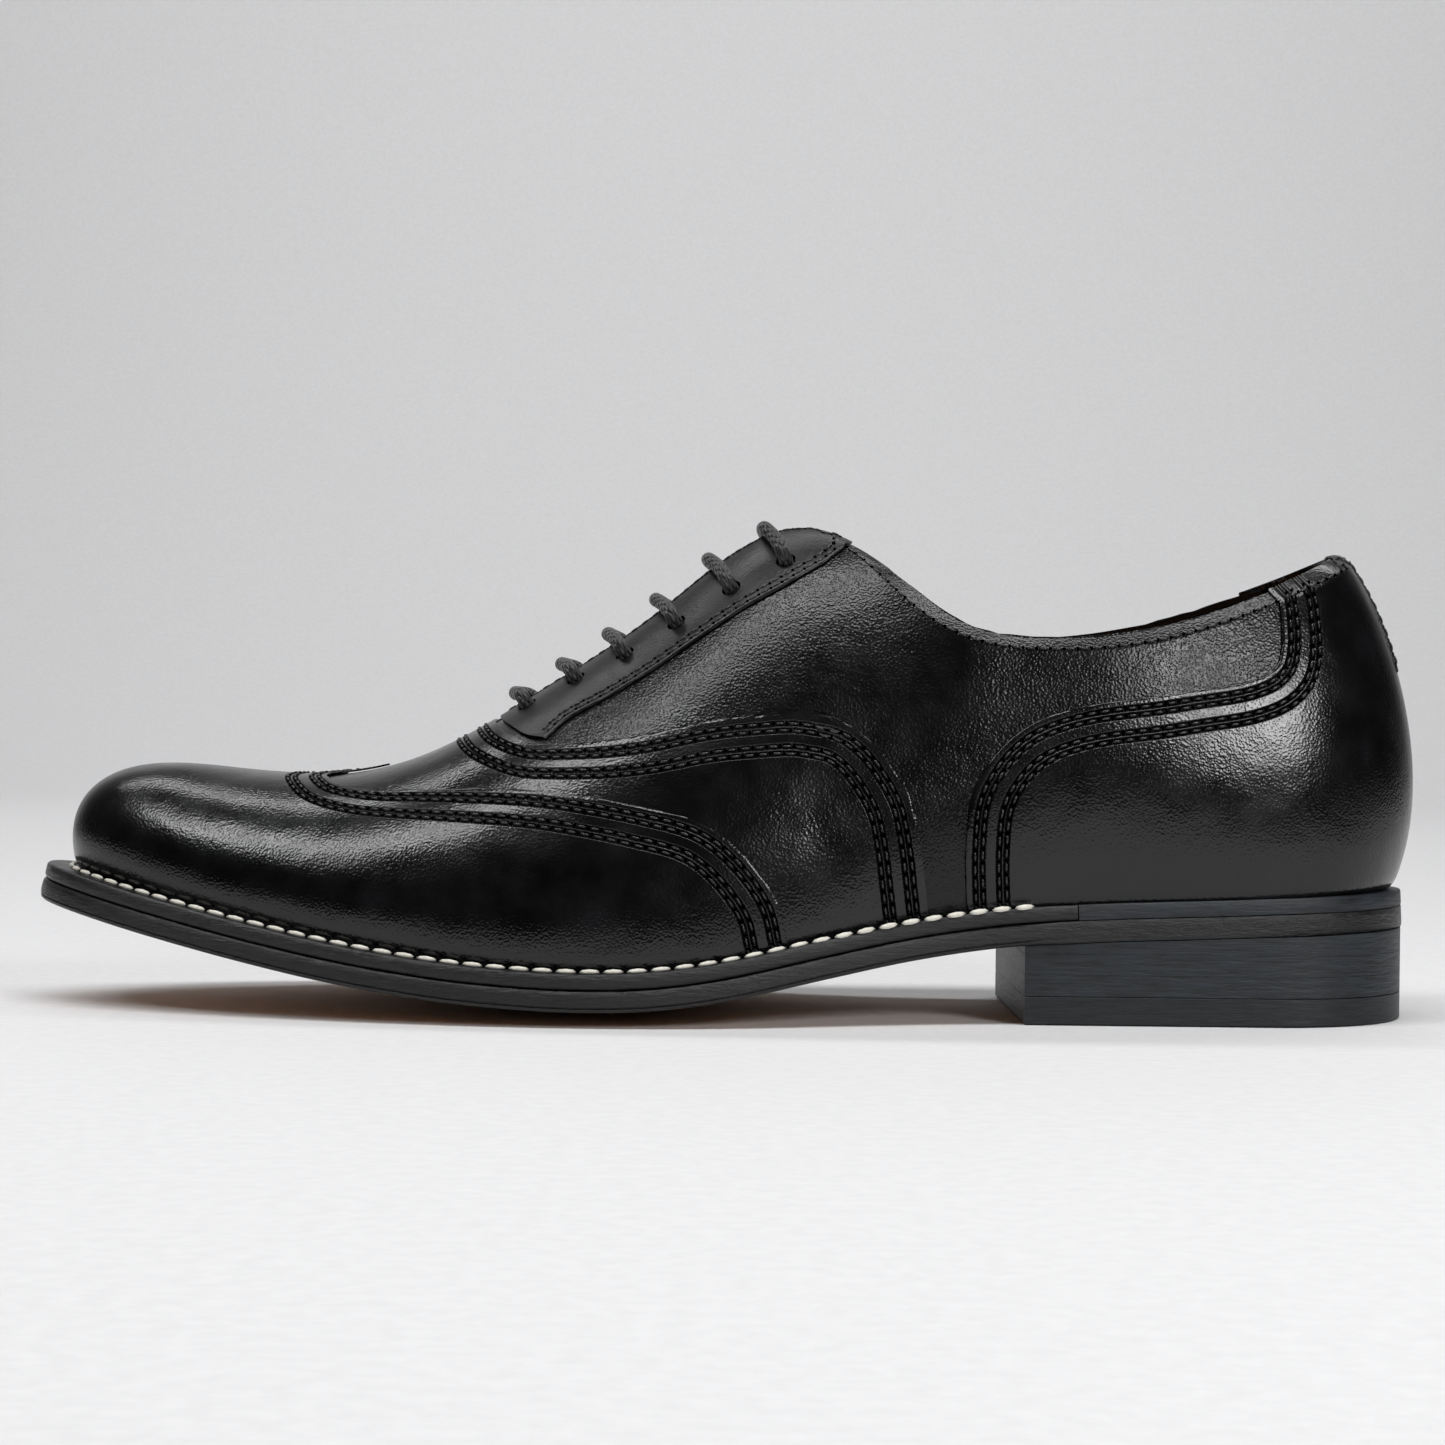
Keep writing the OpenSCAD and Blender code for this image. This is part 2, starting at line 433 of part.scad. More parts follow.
// ---- eyelets and lace ----
function hole(i, s) = let(e = EYELETS[i]) [on(e[0], s * e[1], 0), facing_normal(e[0], s * e[1])];
function deg(n) = [0, acos(n[2]), atan2(n[1], n[0])];
module punch(s, r) {
  for (i = [0:5]) translate(hole(i, s)[0]) rotate(deg(hole(i, s)[1])) translate([0, 0, -2])
    cylinder(r = r, h = 7.5, $fn = 32);
}
module eyelet_ring(s) {
  for (i = [0:5]) translate(hole(i, s)[0]) rotate(deg(hole(i, s)[1])) difference() {
    union() {
      translate([0, 0, -0.9]) cylinder(r = flange_r, h = 0.35, $fn = 32);
      translate([0, 0, -0.9]) cylinder(r = 2.6, h = 3.35, $fn = 32);
    }
    translate([0, 0, -2]) cylinder(r = 2.3, h = 8, $fn = 32);
  }
}
module eyelets_lateral() color([0.25, 0.25, 0.26]) eyelet_ring(-1);
module eyelets_medial() color([0.25, 0.25, 0.26]) eyelet_ring(1);

under = -0.9 - lace_d / 2 - 0.38;
over = vamp_face + lace_d / 2 + 0.55;
// Route points at eyelet i on side s: straight through the hole, up (1) or down (-1).
function through_hole(i, s, up) =
  let(h = hole(i, s), a = [for (z = [-1.8, 1.4, 4.8]) h[0] + h[1] * z])
  (up > 0 ? a : [a[2], a[1], a[0]]);
// Bar over the facings at eyelet i from side s to the other.
function bar(i, s) = let(e = EYELETS[i], g = e[1])
  [for (k = [0.88, 0.6, 0.25, -0.25, -0.6, -0.88]) on(e[0] + 0.12 * (1 - abs(k)), s * k * g, over + 0.4 * (1 - abs(k)))];
// Run under the facing from eyelet i to j on side s, passing the ones between at offset q.
function run(i, j, s, q) = [for (k = [0.14, 0.5, 0.86])
  let(a = EYELETS[i], b = EYELETS[j], m = abs(j - i) > 1 ? 1 : 0)
  on(mix(a[0], b[0], k), s * (mix(a[1], b[1], k) + q * m * (k == 0.5 ? 1 : 0.55)), under)];
function reverse(L) = [for (i = [len(L) - 1:-1:0]) L[i]];
// Outer half: eyelet 1, up to 2, across, 4, across, 6, across. Inner half: 1, 3, across, 5, across.
LACE_A = concat(through_hole(0, -1, -1), run(0, 1, -1, 0), through_hole(1, -1, 1), bar(1, -1),
  through_hole(1, 1, -1), run(1, 3, 1, -0.04), through_hole(3, 1, 1), bar(3, 1), through_hole(3, -1, -1),
  run(3, 5, -1, -0.04), through_hole(5, -1, 1), bar(5, -1), through_hole(5, 1, -1));
LACE_B = concat(through_hole(0, 1, -1), run(0, 2, 1, 0.045), through_hole(2, 1, 1), bar(2, 1),
  through_hole(2, -1, -1), run(2, 4, -1, 0.045), through_hole(4, -1, 1), bar(4, -1), through_hole(4, 1, -1));
LACE = concat(reverse(LACE_B), bar(0, 1), LACE_A);

function turn(n, a, b) = unit(n - b * (n * b));
module tube(P, r, sides = 8) {
  k = len(P) - 1;
  D = [for (i = [0:k]) unit(P[min(i + 1, k)] - P[max(i - 1, 0)])];
  n0 = unit(cross(D[0], abs(D[0][2]) < 0.8 ? [0, 0, 1] : [1, 0, 0]));
  N = [for (i = 0, n = n0; i <= k; n = turn(n, D[i], D[min(i + 1, k)]), i = i + 1) n];
  loft([for (i = [0:k]) [for (j = [0:sides - 1]) let(a = 360 * j / sides)
    P[i] + r * (cos(a) * N[i] + sin(a) * cross(D[i], N[i]))]]);
}
module lace() color(black) tube(LACE, lace_d / 2, 8);
// The free ends leave eyelets 6 and 5 inside, go down the inner wall and lie forward along the insole.
// Rib, girth and height above the last.
TAIL_LONG = [[7.135, 0.225, -3.4], [7.14, 0.28, -2.8], [7.16, 0.36, -2.3], [7.18, 0.46, -2.1], [7.2, 0.56, -2.1],
  [7.22, 0.66, -2.1], [7.26, 0.76, -2.2], [7.36, 0.84, -2.4], [7.56, 0.885, -2.6], [7.85, 0.9, -2.8], [8.2, 0.9, -3],
  [8.6, 0.9, -3], [9, 0.9, -3], [9.4, 0.9, -3], [9.8, 0.9, -3.1], [10.2, 0.9, -3.3], [10.6, 0.9, -3.6], [10.9, 0.9, -4]];
TAIL_SHORT = [[7.515, 0.25, -3.4], [7.52, 0.3, -2.8], [7.54, 0.37, -2.3], [7.57, 0.46, -2.1], [7.62, 0.55, -2.1],
  [7.7, 0.63, -2.1], [7.84, 0.7, -2.2], [8.1, 0.75, -2.3], [8.4, 0.765, -2.4], [8.8, 0.77, -2.5], [9.2, 0.77, -2.6],
  [9.6, 0.77, -2.8], [10, 0.77, -3], [10.4, 0.77, -3.4], [10.7, 0.77, -3.8]];
function tail(R) = [for (q = R) on(q[0], q[1], q[2])];
// A tight turn from the hole of eyelet i towards the first point of the route.
function drop_in(i, R) = let(h = hole(i, 1), n = h[1], q = on(R[1][0], R[1][1], 0) - h[0], d = unit(q - n * (n * q)))
  [for (a = [0:30:90]) h[0] - n * (1.85 + 1.9 * sin(a)) + d * 1.9 * (1 - cos(a))];
module lace_tail_long() color(black) tube(concat(drop_in(5, TAIL_LONG), tail(TAIL_LONG)), lace_d / 2);
module lace_tail_short() color(black) tube(concat(drop_in(4, TAIL_SHORT), tail(TAIL_SHORT)), lace_d / 2);
module aglet(R) {
  p = tail(R);
  k = len(p) - 1;
  d = unit(p[k] - p[k - 1]);
  translate(p[k] + d * 0.05) rotate(deg(d)) cylinder(r = lace_d / 2 - 0.15, h = 18, $fn = 24);
}
module aglet_long() color(soft_black) aglet(TAIL_LONG);
module aglet_short() color(soft_black) aglet(TAIL_SHORT);

outsole();
welt();
heel_rand();
cork_filler();
shank();
insole();
insole_rib();
sock_lining();
heel_lift_1();
heel_lift_2();
heel_lift_3();
top_piece();
heel_nails();
welt_stitching();
toe_cap();
vamp();
quarter_lateral();
quarter_medial();
counter_lateral();
counter_medial();
back_strap();
facing_lateral();
facing_medial();
tongue();
tongue_lining();
vamp_lining();
quarter_lining_lateral();
quarter_lining_medial();
heel_grip();
toe_puff();
counter_stiffener();
eyelets_lateral();
eyelets_medial();
lace();
lace_tail_long();
lace_tail_short();
aglet_long();
aglet_short();
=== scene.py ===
# %% [markdown]
# # A wingtip oxford, piece by piece
# The shoe is a left one, Goodyear welted, with the toe towards -X and the heel towards +X.
# Its hard facts (sizes, joints, the space each piece fills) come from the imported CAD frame.
# Here each piece is shaped again, finely enough for leather to shine, and given its finish.

# %% Load the frame
import math
import bmesh
import bpy
import numpy as np
from mathutils import Matrix, Vector


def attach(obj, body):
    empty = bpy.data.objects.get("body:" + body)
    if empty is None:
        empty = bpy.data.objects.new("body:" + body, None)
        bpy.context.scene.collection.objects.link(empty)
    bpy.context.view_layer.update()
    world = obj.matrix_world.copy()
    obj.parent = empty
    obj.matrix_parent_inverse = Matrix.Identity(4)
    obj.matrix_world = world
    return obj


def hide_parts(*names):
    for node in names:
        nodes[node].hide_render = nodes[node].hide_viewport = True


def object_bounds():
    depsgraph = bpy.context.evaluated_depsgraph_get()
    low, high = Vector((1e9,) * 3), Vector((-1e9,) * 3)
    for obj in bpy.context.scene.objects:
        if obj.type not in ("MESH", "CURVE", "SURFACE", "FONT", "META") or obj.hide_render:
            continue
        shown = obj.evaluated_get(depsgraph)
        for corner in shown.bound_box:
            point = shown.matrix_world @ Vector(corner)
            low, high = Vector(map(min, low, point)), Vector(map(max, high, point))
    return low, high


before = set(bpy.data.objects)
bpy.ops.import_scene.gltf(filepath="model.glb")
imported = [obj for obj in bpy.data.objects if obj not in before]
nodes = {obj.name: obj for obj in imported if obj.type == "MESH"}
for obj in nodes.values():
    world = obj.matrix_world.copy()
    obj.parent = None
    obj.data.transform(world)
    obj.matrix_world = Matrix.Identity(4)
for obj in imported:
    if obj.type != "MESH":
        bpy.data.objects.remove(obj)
cad_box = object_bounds()
MM = 0.001
print("CAD box", cad_box)

# %% [markdown]
# The camera comes first. A long lens from about two shoe lengths away keeps the side view calm,
# as a catalogue picture does. It stands at the height of the vamp and leans by a fraction of a degree.

# %% Camera
low, high = cad_box
SHOE_LENGTH = high[0] - low[0]
CAMERA_PLACE = (-0.0012, -0.6495, 0.0632)
camera = bpy.data.objects.new("camera", bpy.data.cameras.new("camera"))
bpy.context.collection.objects.link(camera)
camera.data.sensor_width = 36
camera.data.lens = 72.4
camera.data.clip_start = 0.05
camera.matrix_world = (Matrix.Translation(CAMERA_PLACE)
                       @ Matrix.Rotation(math.radians(90), 4, "X") @ Matrix.Rotation(math.radians(0.7), 4, "Z"))
bpy.context.scene.camera = camera
print("camera stands", round(-CAMERA_PLACE[1] / SHOE_LENGTH, 2), "shoe lengths away")

# %% [markdown]
# A shoe is made on a last, a wooden or plastic foot. Everything in the upper is a thin sheet
# at some height above the last, so the last is written once, as a function of two numbers:
# the rib (0 at the back of the heel, 14 at the toe) and the girth (1 at the sole, 0 at the ridge).
# Splines through a few rows give a surface with smooth reflections, which a box model would not.

# %% The rows of the last
SHIFT = np.array([-1.19, 0.54, 0.0])
WELT_T, OUTSOLE_T = 3.5, 4.5
STACK_T = WELT_T + OUTSOLE_T + 0.2
PLAN = np.array([[145.3, 0, 0], [140.5, -14.5, 14.5], [128, -25, 24.5], [108, -29, 28], [85, -30, 27.5],
    [60, -31.5, 26.5], [35, -35, 27.5], [10, -40.5, 32], [-15, -44, 39], [-40, -43.5, 43],
    [-65, -39.5, 41.5], [-90, -32.5, 36], [-113, -23.5, 28], [-130, -13, 17.5], [-139.4, 1.5, 1.5]])
CREST_O = np.array([[136.3, 0, 98.6], [133.8, -8.5, 97.4], [124.5, -16, 93], [108, -22.3, 86.6], [86, -27.3, 81],
    [62, -28, 80.2], [43, -23.5, 88], [17, -3, 103.5], [-12, 0, 86.3], [-38, 0, 67.6], [-62, 0, 53.3],
    [-84, 0, 47.3], [-102, 0, 47.2], [-113, 0, 48.2], [-119, 0.5, 48.6]])
CREST_I = np.array([[136.3, 0, 98.6], [133.8, 8.5, 97.5], [124.5, 16, 93.5], [108, 22, 87.7], [86, 26, 82.4],
    [62, 26, 81.6], [43, 22, 89.4], [17, 3, 103.5], [-12, 0, 86.3], [-38, 0, 67.6], [-62, 0, 53.3],
    [-84, 0, 47.3], [-102, 0, 47.2], [-113, 0, 48.2], [-119, 0.5, 48.6]])
HANDLE = np.array([[10.7, 18, 12.7, 17.6], [8, 18, 10, 18], [5.5, 19, 8, 20], [4.5, 20, 6, 22], [4, 20, 5, 22],
    [4, 20, 5, 20], [4, 21, 8, 22], [4, 22, 20, 6], [4.5, 20, 24, 3], [5, 18, 25, 1.5], [6, 17, 24, 0.5],
    [6, 16, 20, 0], [6, 15, 17, 0], [5.5, 14, 18, -0.4], [5, 14.5, 18, -0.8]])
EDGE_O = [6, 5.4, 4.8, 4.4, 4.4, 4.8, 5.6, 7.2, 8.4, 8.8, 9, 9.4, 9.8, 10.4, 10.8]
EDGE_I = [6, 5.4, 4.8, 4.4, 4.2, 4.2, 4.6, 6, 7.8, 8.6, 9, 9.4, 9.8, 10.4, 10.8]
SOLE = np.array([[-160, 24.6], [-140, 20.3], [-120, 15.8], [-100, 11.5], [-80, 7.7], [-60, 4.9], [-45, 3.6],
    [-30, 3], [-15, 3.4], [0, 5.3], [20, 9.5], [40, 13.5], [60, 16.3], [80, 17.6], [105, 18.5],
    [130, 19.4], [160, 20.4]])


# %% [markdown]
# The rows are joined by a cubic that passes through each of them, and a Bezier curve crosses each rib
# from the feather line to the ridge. Each side's rows carry on into the other's, so that the two
# sides of the shoe join smoothly. Only the ridge isn't carried on at the toe, where both sides end.

# %% Splines and the last surface
def ease(x):
    x = np.clip(x, 0, 1)
    return x * x * (3 - 2 * x)


def unit(v):
    return v / np.maximum(np.linalg.norm(v, axis=-1, keepdims=True), 1e-9)


def knots(rows):
    """Control points of the smooth cubic that passes through the rows."""
    rows = np.asarray(rows, float)
    n = len(rows)
    m = np.eye(n)
    for i in range(1, n - 1):
        m[i, i - 1:i + 2] = [1 / 6, 4 / 6, 1 / 6]
    return np.linalg.solve(m, rows)


def through(ctrl, s):
    """The cubic at s, where s = 0 is the row before the second control point."""
    s = np.clip(s, 0, len(ctrl) - 3 - 1e-9)
    i = np.floor(s).astype(int)
    f = (s - i)[..., None]
    a, b, c, d = ctrl[i], ctrl[i + 1], ctrl[i + 2], ctrl[i + 3]
    return ((1 - f) ** 3 * a + (3 * f ** 3 - 6 * f ** 2 + 4) * b
            + (-3 * f ** 3 + 3 * f ** 2 + 3 * f + 1) * c + f ** 3 * d) / 6


def wrapped(mine, other, fold):
    """Rows with four more at each end, so that the two sides of the shoe join smoothly."""
    front = other[4:0:-1]
    back = other[-2:-6:-1] if fold else [mine[-1] * (k + 1) - mine[-2] * k for k in (1, 2, 3, 4)]
    return knots(np.concatenate([front, mine, np.array(back)]))


def pair(a, b, fold=True):
    return wrapped(a, b, fold), wrapped(b, a, fold)


PLAN_K = pair(PLAN[:, [0, 1]], PLAN[:, [0, 2]])
CREST_K = pair(CREST_O, CREST_I, False)
HANDLE_K = wrapped(HANDLE, HANDLE, True)
EDGE_K = pair(np.array(EDGE_O)[:, None], np.array(EDGE_I)[:, None])


def sided(pairs, t, w):
    outer, inner = through(pairs[0], t + 3), through(pairs[1], t + 3)
    return np.where((w < 0)[..., None], outer, inner)


def plan(t, w):
    return sided(PLAN_K, t, w)


def crest(t, w):
    c = sided(CREST_K, t, w)
    both = 0.5 * (through(CREST_K[0], t + 3) + through(CREST_K[1], t + 3))
    k = ease((t - 7.9) / 0.8)[..., None]
    return c * (1 - k) + both * k


def sole_z(x):
    return np.interp(x, FINE_X, FINE_Z)


def sole_curve():
    """Cubic through the height rows of the sole, sampled every half millimetre."""
    x, z = SOLE[:, 0], SOLE[:, 1]
    m = np.gradient(z, x)
    m[1:-1] = (z[2:] - z[:-2]) / (x[2:] - x[:-2])
    fine = np.arange(-160, 160.01, 0.5)
    i = np.clip(np.searchsorted(x, fine, side="right") - 1, 0, len(x) - 2)
    h = x[i + 1] - x[i]
    s = (fine - x[i]) / h
    value = ((2 * s ** 3 - 3 * s ** 2 + 1) * z[i] + (s ** 3 - 2 * s ** 2 + s) * h * m[i]
             + (3 * s ** 2 - 2 * s ** 3) * z[i + 1] + (s ** 3 - s ** 2) * h * m[i + 1])
    return fine, value


FINE_X, FINE_Z = sole_curve()


def outward(t, w):
    """Level direction out of the feather line, where the upper meets the welt."""
    e = 0.02
    inside = np.clip(t, e, 14 - e)
    d = unit(plan(inside + e, w) - plan(inside - e, w))
    n = np.stack([d[..., 1], -d[..., 0]], -1)
    n = np.where((n[..., 1] * w < 0)[..., None], -n, n)
    k = ease(t / 0.05)[..., None]
    n = n * k + np.array([1.0, 0]) * (1 - k)
    k = ease((14 - t) / 0.05)[..., None]
    return unit(n * k + np.array([-1.0, 0]) * (1 - k))


def stack(p, depth, drop=0.0):
    """A point of the sole, depth millimetres under the top of the welt."""
    x = p[..., 0]
    s = (sole_z(x + 1) - sole_z(x - 1)) / 2
    length = np.sqrt(1 + s * s)
    return np.stack([x + SHIFT[0] + s / length * depth, p[..., 1] + SHIFT[1],
                     sole_z(x) + STACK_T - depth / length - drop], -1)


def crown(x):
    return 3 * np.exp(-((x + 28) / 45) ** 2)


def rib(t, w):
    w = np.where((t < 0) | (t > 14), -w, w)
    t = np.where(t < 0, -t, np.where(t > 14, 28 - t, t))
    p, c, h, o = plan(t, w), crest(t, w), through(HANDLE_K, t + 3), outward(t, w)
    f = np.concatenate([p, (sole_z(p[..., 0]) + STACK_T)[..., None]], -1)
    level = np.concatenate([o, np.zeros_like(o[..., :1])], -1)
    up = np.array([0, 0, 1.0])
    a = f + level * h[..., 0:1] + up * h[..., 1:2]
    b = c + level * h[..., 2:3] - up * h[..., 3:4]
    u = np.abs(w)[..., None]
    v = 1 - u
    return u ** 3 * f + 3 * u ** 2 * v * a + 3 * u * v ** 2 * b + v ** 3 * c + SHIFT


def normal(t, w):
    e = 0.01
    du = rib(t + e, w) - rib(t - e, w)
    dv = rib(t, np.minimum(w + e, 1)) - rib(t, np.maximum(w - e, -1))
    n = unit(np.cross(du, dv))
    p = rib(t, w)
    x = p[..., 0]
    m = p - np.stack([np.clip(x, -110, 110), np.full_like(x, SHIFT[1]), np.full_like(x, 35)], -1)
    n = np.where(((n * m).sum(-1) < 0)[..., None], -n, n)
    pole = ((t > 13.995) & (np.abs(w) < 0.005))[..., None]
    return np.where(pole, np.array([0, 0, 1.0]), n)


def on(t, w, h):
    """A point at height h above the last. Near the feather the layers stand level on the welt."""
    t, w, h = np.broadcast_arrays(np.asarray(t, float), np.asarray(w, float), np.asarray(h, float))
    g = ease((1 - np.abs(w)) / 0.12)
    o = outward(t, w)
    level = np.concatenate([o, np.zeros_like(o[..., :1])], -1)
    q = rib(t, w) + unit(level * (1 - g[..., None]) + normal(t, w) * g[..., None]) * h[..., None]
    z = (sole_z(q[..., 0] - SHIFT[0]) + STACK_T + 0.15) * (1 - g) + q[..., 2] * g + (1 - g) * (1 - np.abs(w)) * 30
    return np.stack([q[..., 0], q[..., 1], z], -1)


print("toe tip of the last", on(14, -0.6, 0).round(1))

# %% [markdown]
# The two free ends of the lace are the only cords. They leave the top eyelets inside the shoe,
# go down the inner wall and lie forward along the insole, where a shop tucks them away.
# Each is a curve with a round bevel, along the same route as its CAD tube.

# %% Lace ends, as curves
LACE_D = 3.2
EYELETS = [[9.1, 0.13], [8.69, 0.14], [8.29, 0.165], [7.9, 0.18], [7.51, 0.19], [7.13, 0.165]]
TAIL_LONG = [[7.135, 0.225, -3.4], [7.14, 0.28, -2.8], [7.16, 0.36, -2.3], [7.18, 0.46, -2.1], [7.2, 0.56, -2.1],
    [7.22, 0.66, -2.1], [7.26, 0.76, -2.2], [7.36, 0.84, -2.4], [7.56, 0.885, -2.6], [7.85, 0.9, -2.8], [8.2, 0.9, -3],
    [8.6, 0.9, -3], [9, 0.9, -3], [9.4, 0.9, -3], [9.8, 0.9, -3.1], [10.2, 0.9, -3.3],
    [10.6, 0.9, -3.6], [10.9, 0.9, -4]]
TAIL_SHORT = [[7.515, 0.25, -3.4], [7.52, 0.3, -2.8], [7.54, 0.37, -2.3], [7.57, 0.46, -2.1], [7.62, 0.55, -2.1],
    [7.7, 0.63, -2.1], [7.84, 0.7, -2.2], [8.1, 0.75, -2.3], [8.4, 0.765, -2.4], [8.8, 0.77, -2.5], [9.2, 0.77, -2.6],
    [9.6, 0.77, -2.8], [10, 0.77, -3], [10.4, 0.77, -3.4], [10.7, 0.77, -3.8]]


def hole(i, side):
    t, u = (np.array(v) for v in EYELETS[i])
    w = side * u
    return on(t, w, 0), normal(t, w)


def tail_points(route, i):
    """The route in metres: a tight turn from the hole, then its points by rib, girth and height."""
    p, n = hole(i, 1)
    r = np.array(route)
    q = on(r[1, 0], r[1, 1], 0) - p
    d = unit(q - n * (n @ q))
    turn = [p - n * (1.85 + 1.9 * math.sin(a)) + d * 1.9 * (1 - math.cos(a))
            for a in np.radians([0, 30, 60, 90])]
    return np.concatenate([turn, on(r[:, 0], r[:, 1], r[:, 2])]) * MM


def cord_curve(name, points, radius):
    data = bpy.data.curves.new(name, "CURVE")
    data.dimensions = "3D"
    data.bevel_depth = radius
    data.bevel_resolution = 3
    data.use_fill_caps = True
    spline = data.splines.new("POLY")
    spline.points.add(len(points) - 1)
    for q, p in zip(spline.points, points):
        q.co = (*p, 1)
    spline.use_smooth = True
    obj = bpy.data.objects.new(name, data)
    bpy.context.collection.objects.link(obj)
    return obj


def length_of(points):
    return float(np.linalg.norm(np.diff(points, axis=0), axis=1).sum())


tails = {}
for name, route, i in (("lace_end_long", TAIL_LONG, 5), ("lace_end_short", TAIL_SHORT, 4)):
    points = tail_points(route, i)
    tails[name] = cord_curve(name, points, LACE_D / 2 * MM)
    tails[name]["route_length"] = length_of(points)
    print(name, round(length_of(points) * 1000), "mm")

# %% [markdown]
# Two small helpers serve every material: one turns an sRGB hex colour into linear light,
# the other adds one node, sets it and links it, so that each finish reads as a list of steps.

# %% Node helpers
def colour(text):
    """sRGB hex to linear RGBA."""
    rgb = [int(text[i:i + 2], 16) / 255 for i in (0, 2, 4)]
    return (*[c / 12.92 if c <= 0.04045 else ((c + 0.055) / 1.055) ** 2.4 for c in rgb], 1)


def add(tree, kind, feed=None, **settings):
    """Add a node with its settings, and feed its inputs with values or links."""
    node = tree.nodes.new(kind)
    for key, value in settings.items():
        setattr(node, key, value)
    for key, value in (feed or {}).items():
        if isinstance(value, bpy.types.NodeSocket):
            tree.links.new(value, node.inputs[key])
        else:
            node.inputs[key].default_value = value
    return node


def new_finish(name, roughness, base, **sockets):
    """A named material with its Principled shader. Plain values sit on the shader's own sockets."""
    material = bpy.data.materials.new(name)
    material.use_nodes = True
    tree = material.node_tree
    tree.nodes.clear()
    shader = add(tree, "ShaderNodeBsdfPrincipled", {"Roughness": roughness, "Base Color": colour(base), **sockets})
    add(tree, "ShaderNodeOutputMaterial", {"Surface": shader.outputs[0]})
    return material, tree, shader


def ramp(tree, value, stops):
    """A colour ramp over a value, from a list of (place, hex colour)."""
    node = add(tree, "ShaderNodeValToRGB", {"Fac": value})
    for i, (place, text) in enumerate(stops):
        stop = node.color_ramp.elements[i] if i < 2 else node.color_ramp.elements.new(place)
        stop.position = place
        stop.color = colour(text)
    return node.outputs[0]


def bumped(tree, shader, height, depth, below=None):
    """Feed the shader with a bump of a real depth in metres."""
    feed = {"Height": height, "Distance": depth, "Strength": 1.0}
    if below is not None:
        feed["Normal"] = below
    tree.links.new(add(tree, "ShaderNodeBump", feed).outputs[0], shader.inputs["Normal"])


def per_mm(size):
    """Texture scale in metres that makes one cell of this many millimetres."""
    return 1 / (size * MM)


# %% [markdown]
# Box calf is calfskin, chrome tanned, dyed black and polished until a thin glaze lies on it.
# The eye reads it by what it mirrors: near black, with clear but slightly soft reflections,
# broken by a fine grain of about 0.5 mm cells and by longer, lazy unevenness where it was lasted.

# %% Box calf
PITCH = 2.9
# Stitch rows lie in two pairs. Folding the distance from the edge three times brings all four to zero.
SEAM_DISTANCES = (1.9, 3.5, 7.0, 8.6)
SEAM_MIDDLE, PAIR_HALF, ROW_HALF = 5.25, 2.55, 0.8


def grain(tree, size, swell, swell_depth):
    """The pores, the coordinates that they read, and a normal with a lazy swell. Sizes are in mm."""
    where = add(tree, "ShaderNodeTexCoord").outputs["Object"]
    cells = add(tree, "ShaderNodeTexVoronoi", {"Vector": where, "Scale": per_mm(size), "Randomness": 1.0},
                feature="SMOOTH_F1").outputs["Distance"]
    lazy = add(tree, "ShaderNodeTexNoise", {"Vector": where, "Scale": per_mm(swell), "Detail": 3.0})
    first = add(tree, "ShaderNodeBump", {"Height": lazy.outputs["Fac"], "Distance": swell_depth, "Strength": 1.0})
    return cells, where, first.outputs[0]


def seam_relief(tree, depth, below):
    """Leather drawn down along four rows of stitches, so that it puffs between them.
    The seam map holds metres: U along the panel's edge, V away from it."""
    uv = add(tree, "ShaderNodeUVMap", uv_map="seam").outputs[0]
    part = add(tree, "ShaderNodeSeparateXYZ", {"Vector": uv})
    near = part.outputs[1]
    for middle in (SEAM_MIDDLE, PAIR_HALF, ROW_HALF):
        away = add(tree, "ShaderNodeMath", {0: near, 1: middle * MM}, operation="SUBTRACT").outputs[0]
        near = add(tree, "ShaderNodeMath", {0: away}, operation="ABSOLUTE").outputs[0]
    groove = add(tree, "ShaderNodeMapRange", {"Value": near, "From Min": 0.0, "From Max": 0.85 * MM,
                                              "To Min": 0.0, "To Max": 1.0},
                 interpolation_type="SMOOTHSTEP").outputs[0]
    return add(tree, "ShaderNodeBump", {"Height": groove, "Distance": depth, "Strength": 1.0,
                                        "Normal": below}).outputs[0]


def make_calf(name, base, roughness, size, depth, ior, sewn=0.0):
    """Dyed calf. size is its grain in mm and depth is in metres. sewn is how deep its seams are drawn down."""
    material, tree, shader = new_finish(name, roughness, base, IOR=ior)
    cells, where, swell = grain(tree, size, 24, 0.0006)
    blotch = add(tree, "ShaderNodeTexNoise", {"Vector": where, "Scale": per_mm(9), "Detail": 4.0}).outputs["Fac"]
    tree.links.new(ramp(tree, blotch, [(0.3, base), (0.75, "0d0d0f")]), shader.inputs["Base Color"])
    rough = add(tree, "ShaderNodeMapRange", {"Value": blotch, "From Min": 0.3, "From Max": 0.7,
                                             "To Min": roughness - 0.04, "To Max": roughness + 0.06})
    tree.links.new(rough.outputs[0], shader.inputs["Roughness"])
    if sewn:
        swell = seam_relief(tree, sewn, swell)
    bumped(tree, shader, cells, depth, swell)
    return material


calf = make_calf("box_calf_glazed", "030303", 0.2, 0.5, 0.00006, 1.5, 0.0008)
grained = make_calf("box_calf_grained", "020203", 0.24, 0.5, 0.0001, 1.4)
smooth_calf = make_calf("box_calf_facing", "040405", 0.34, 0.5, 0.00005, 1.42)
print("leather finishes:", calf.name, grained.name, smooth_calf.name)

# %% [markdown]
# The sole edge is the cut side of vegetable tanned leather, inked black, waxed and burnished
# with a hot iron that leaves fine lines along it. The tread underneath keeps its natural tan.

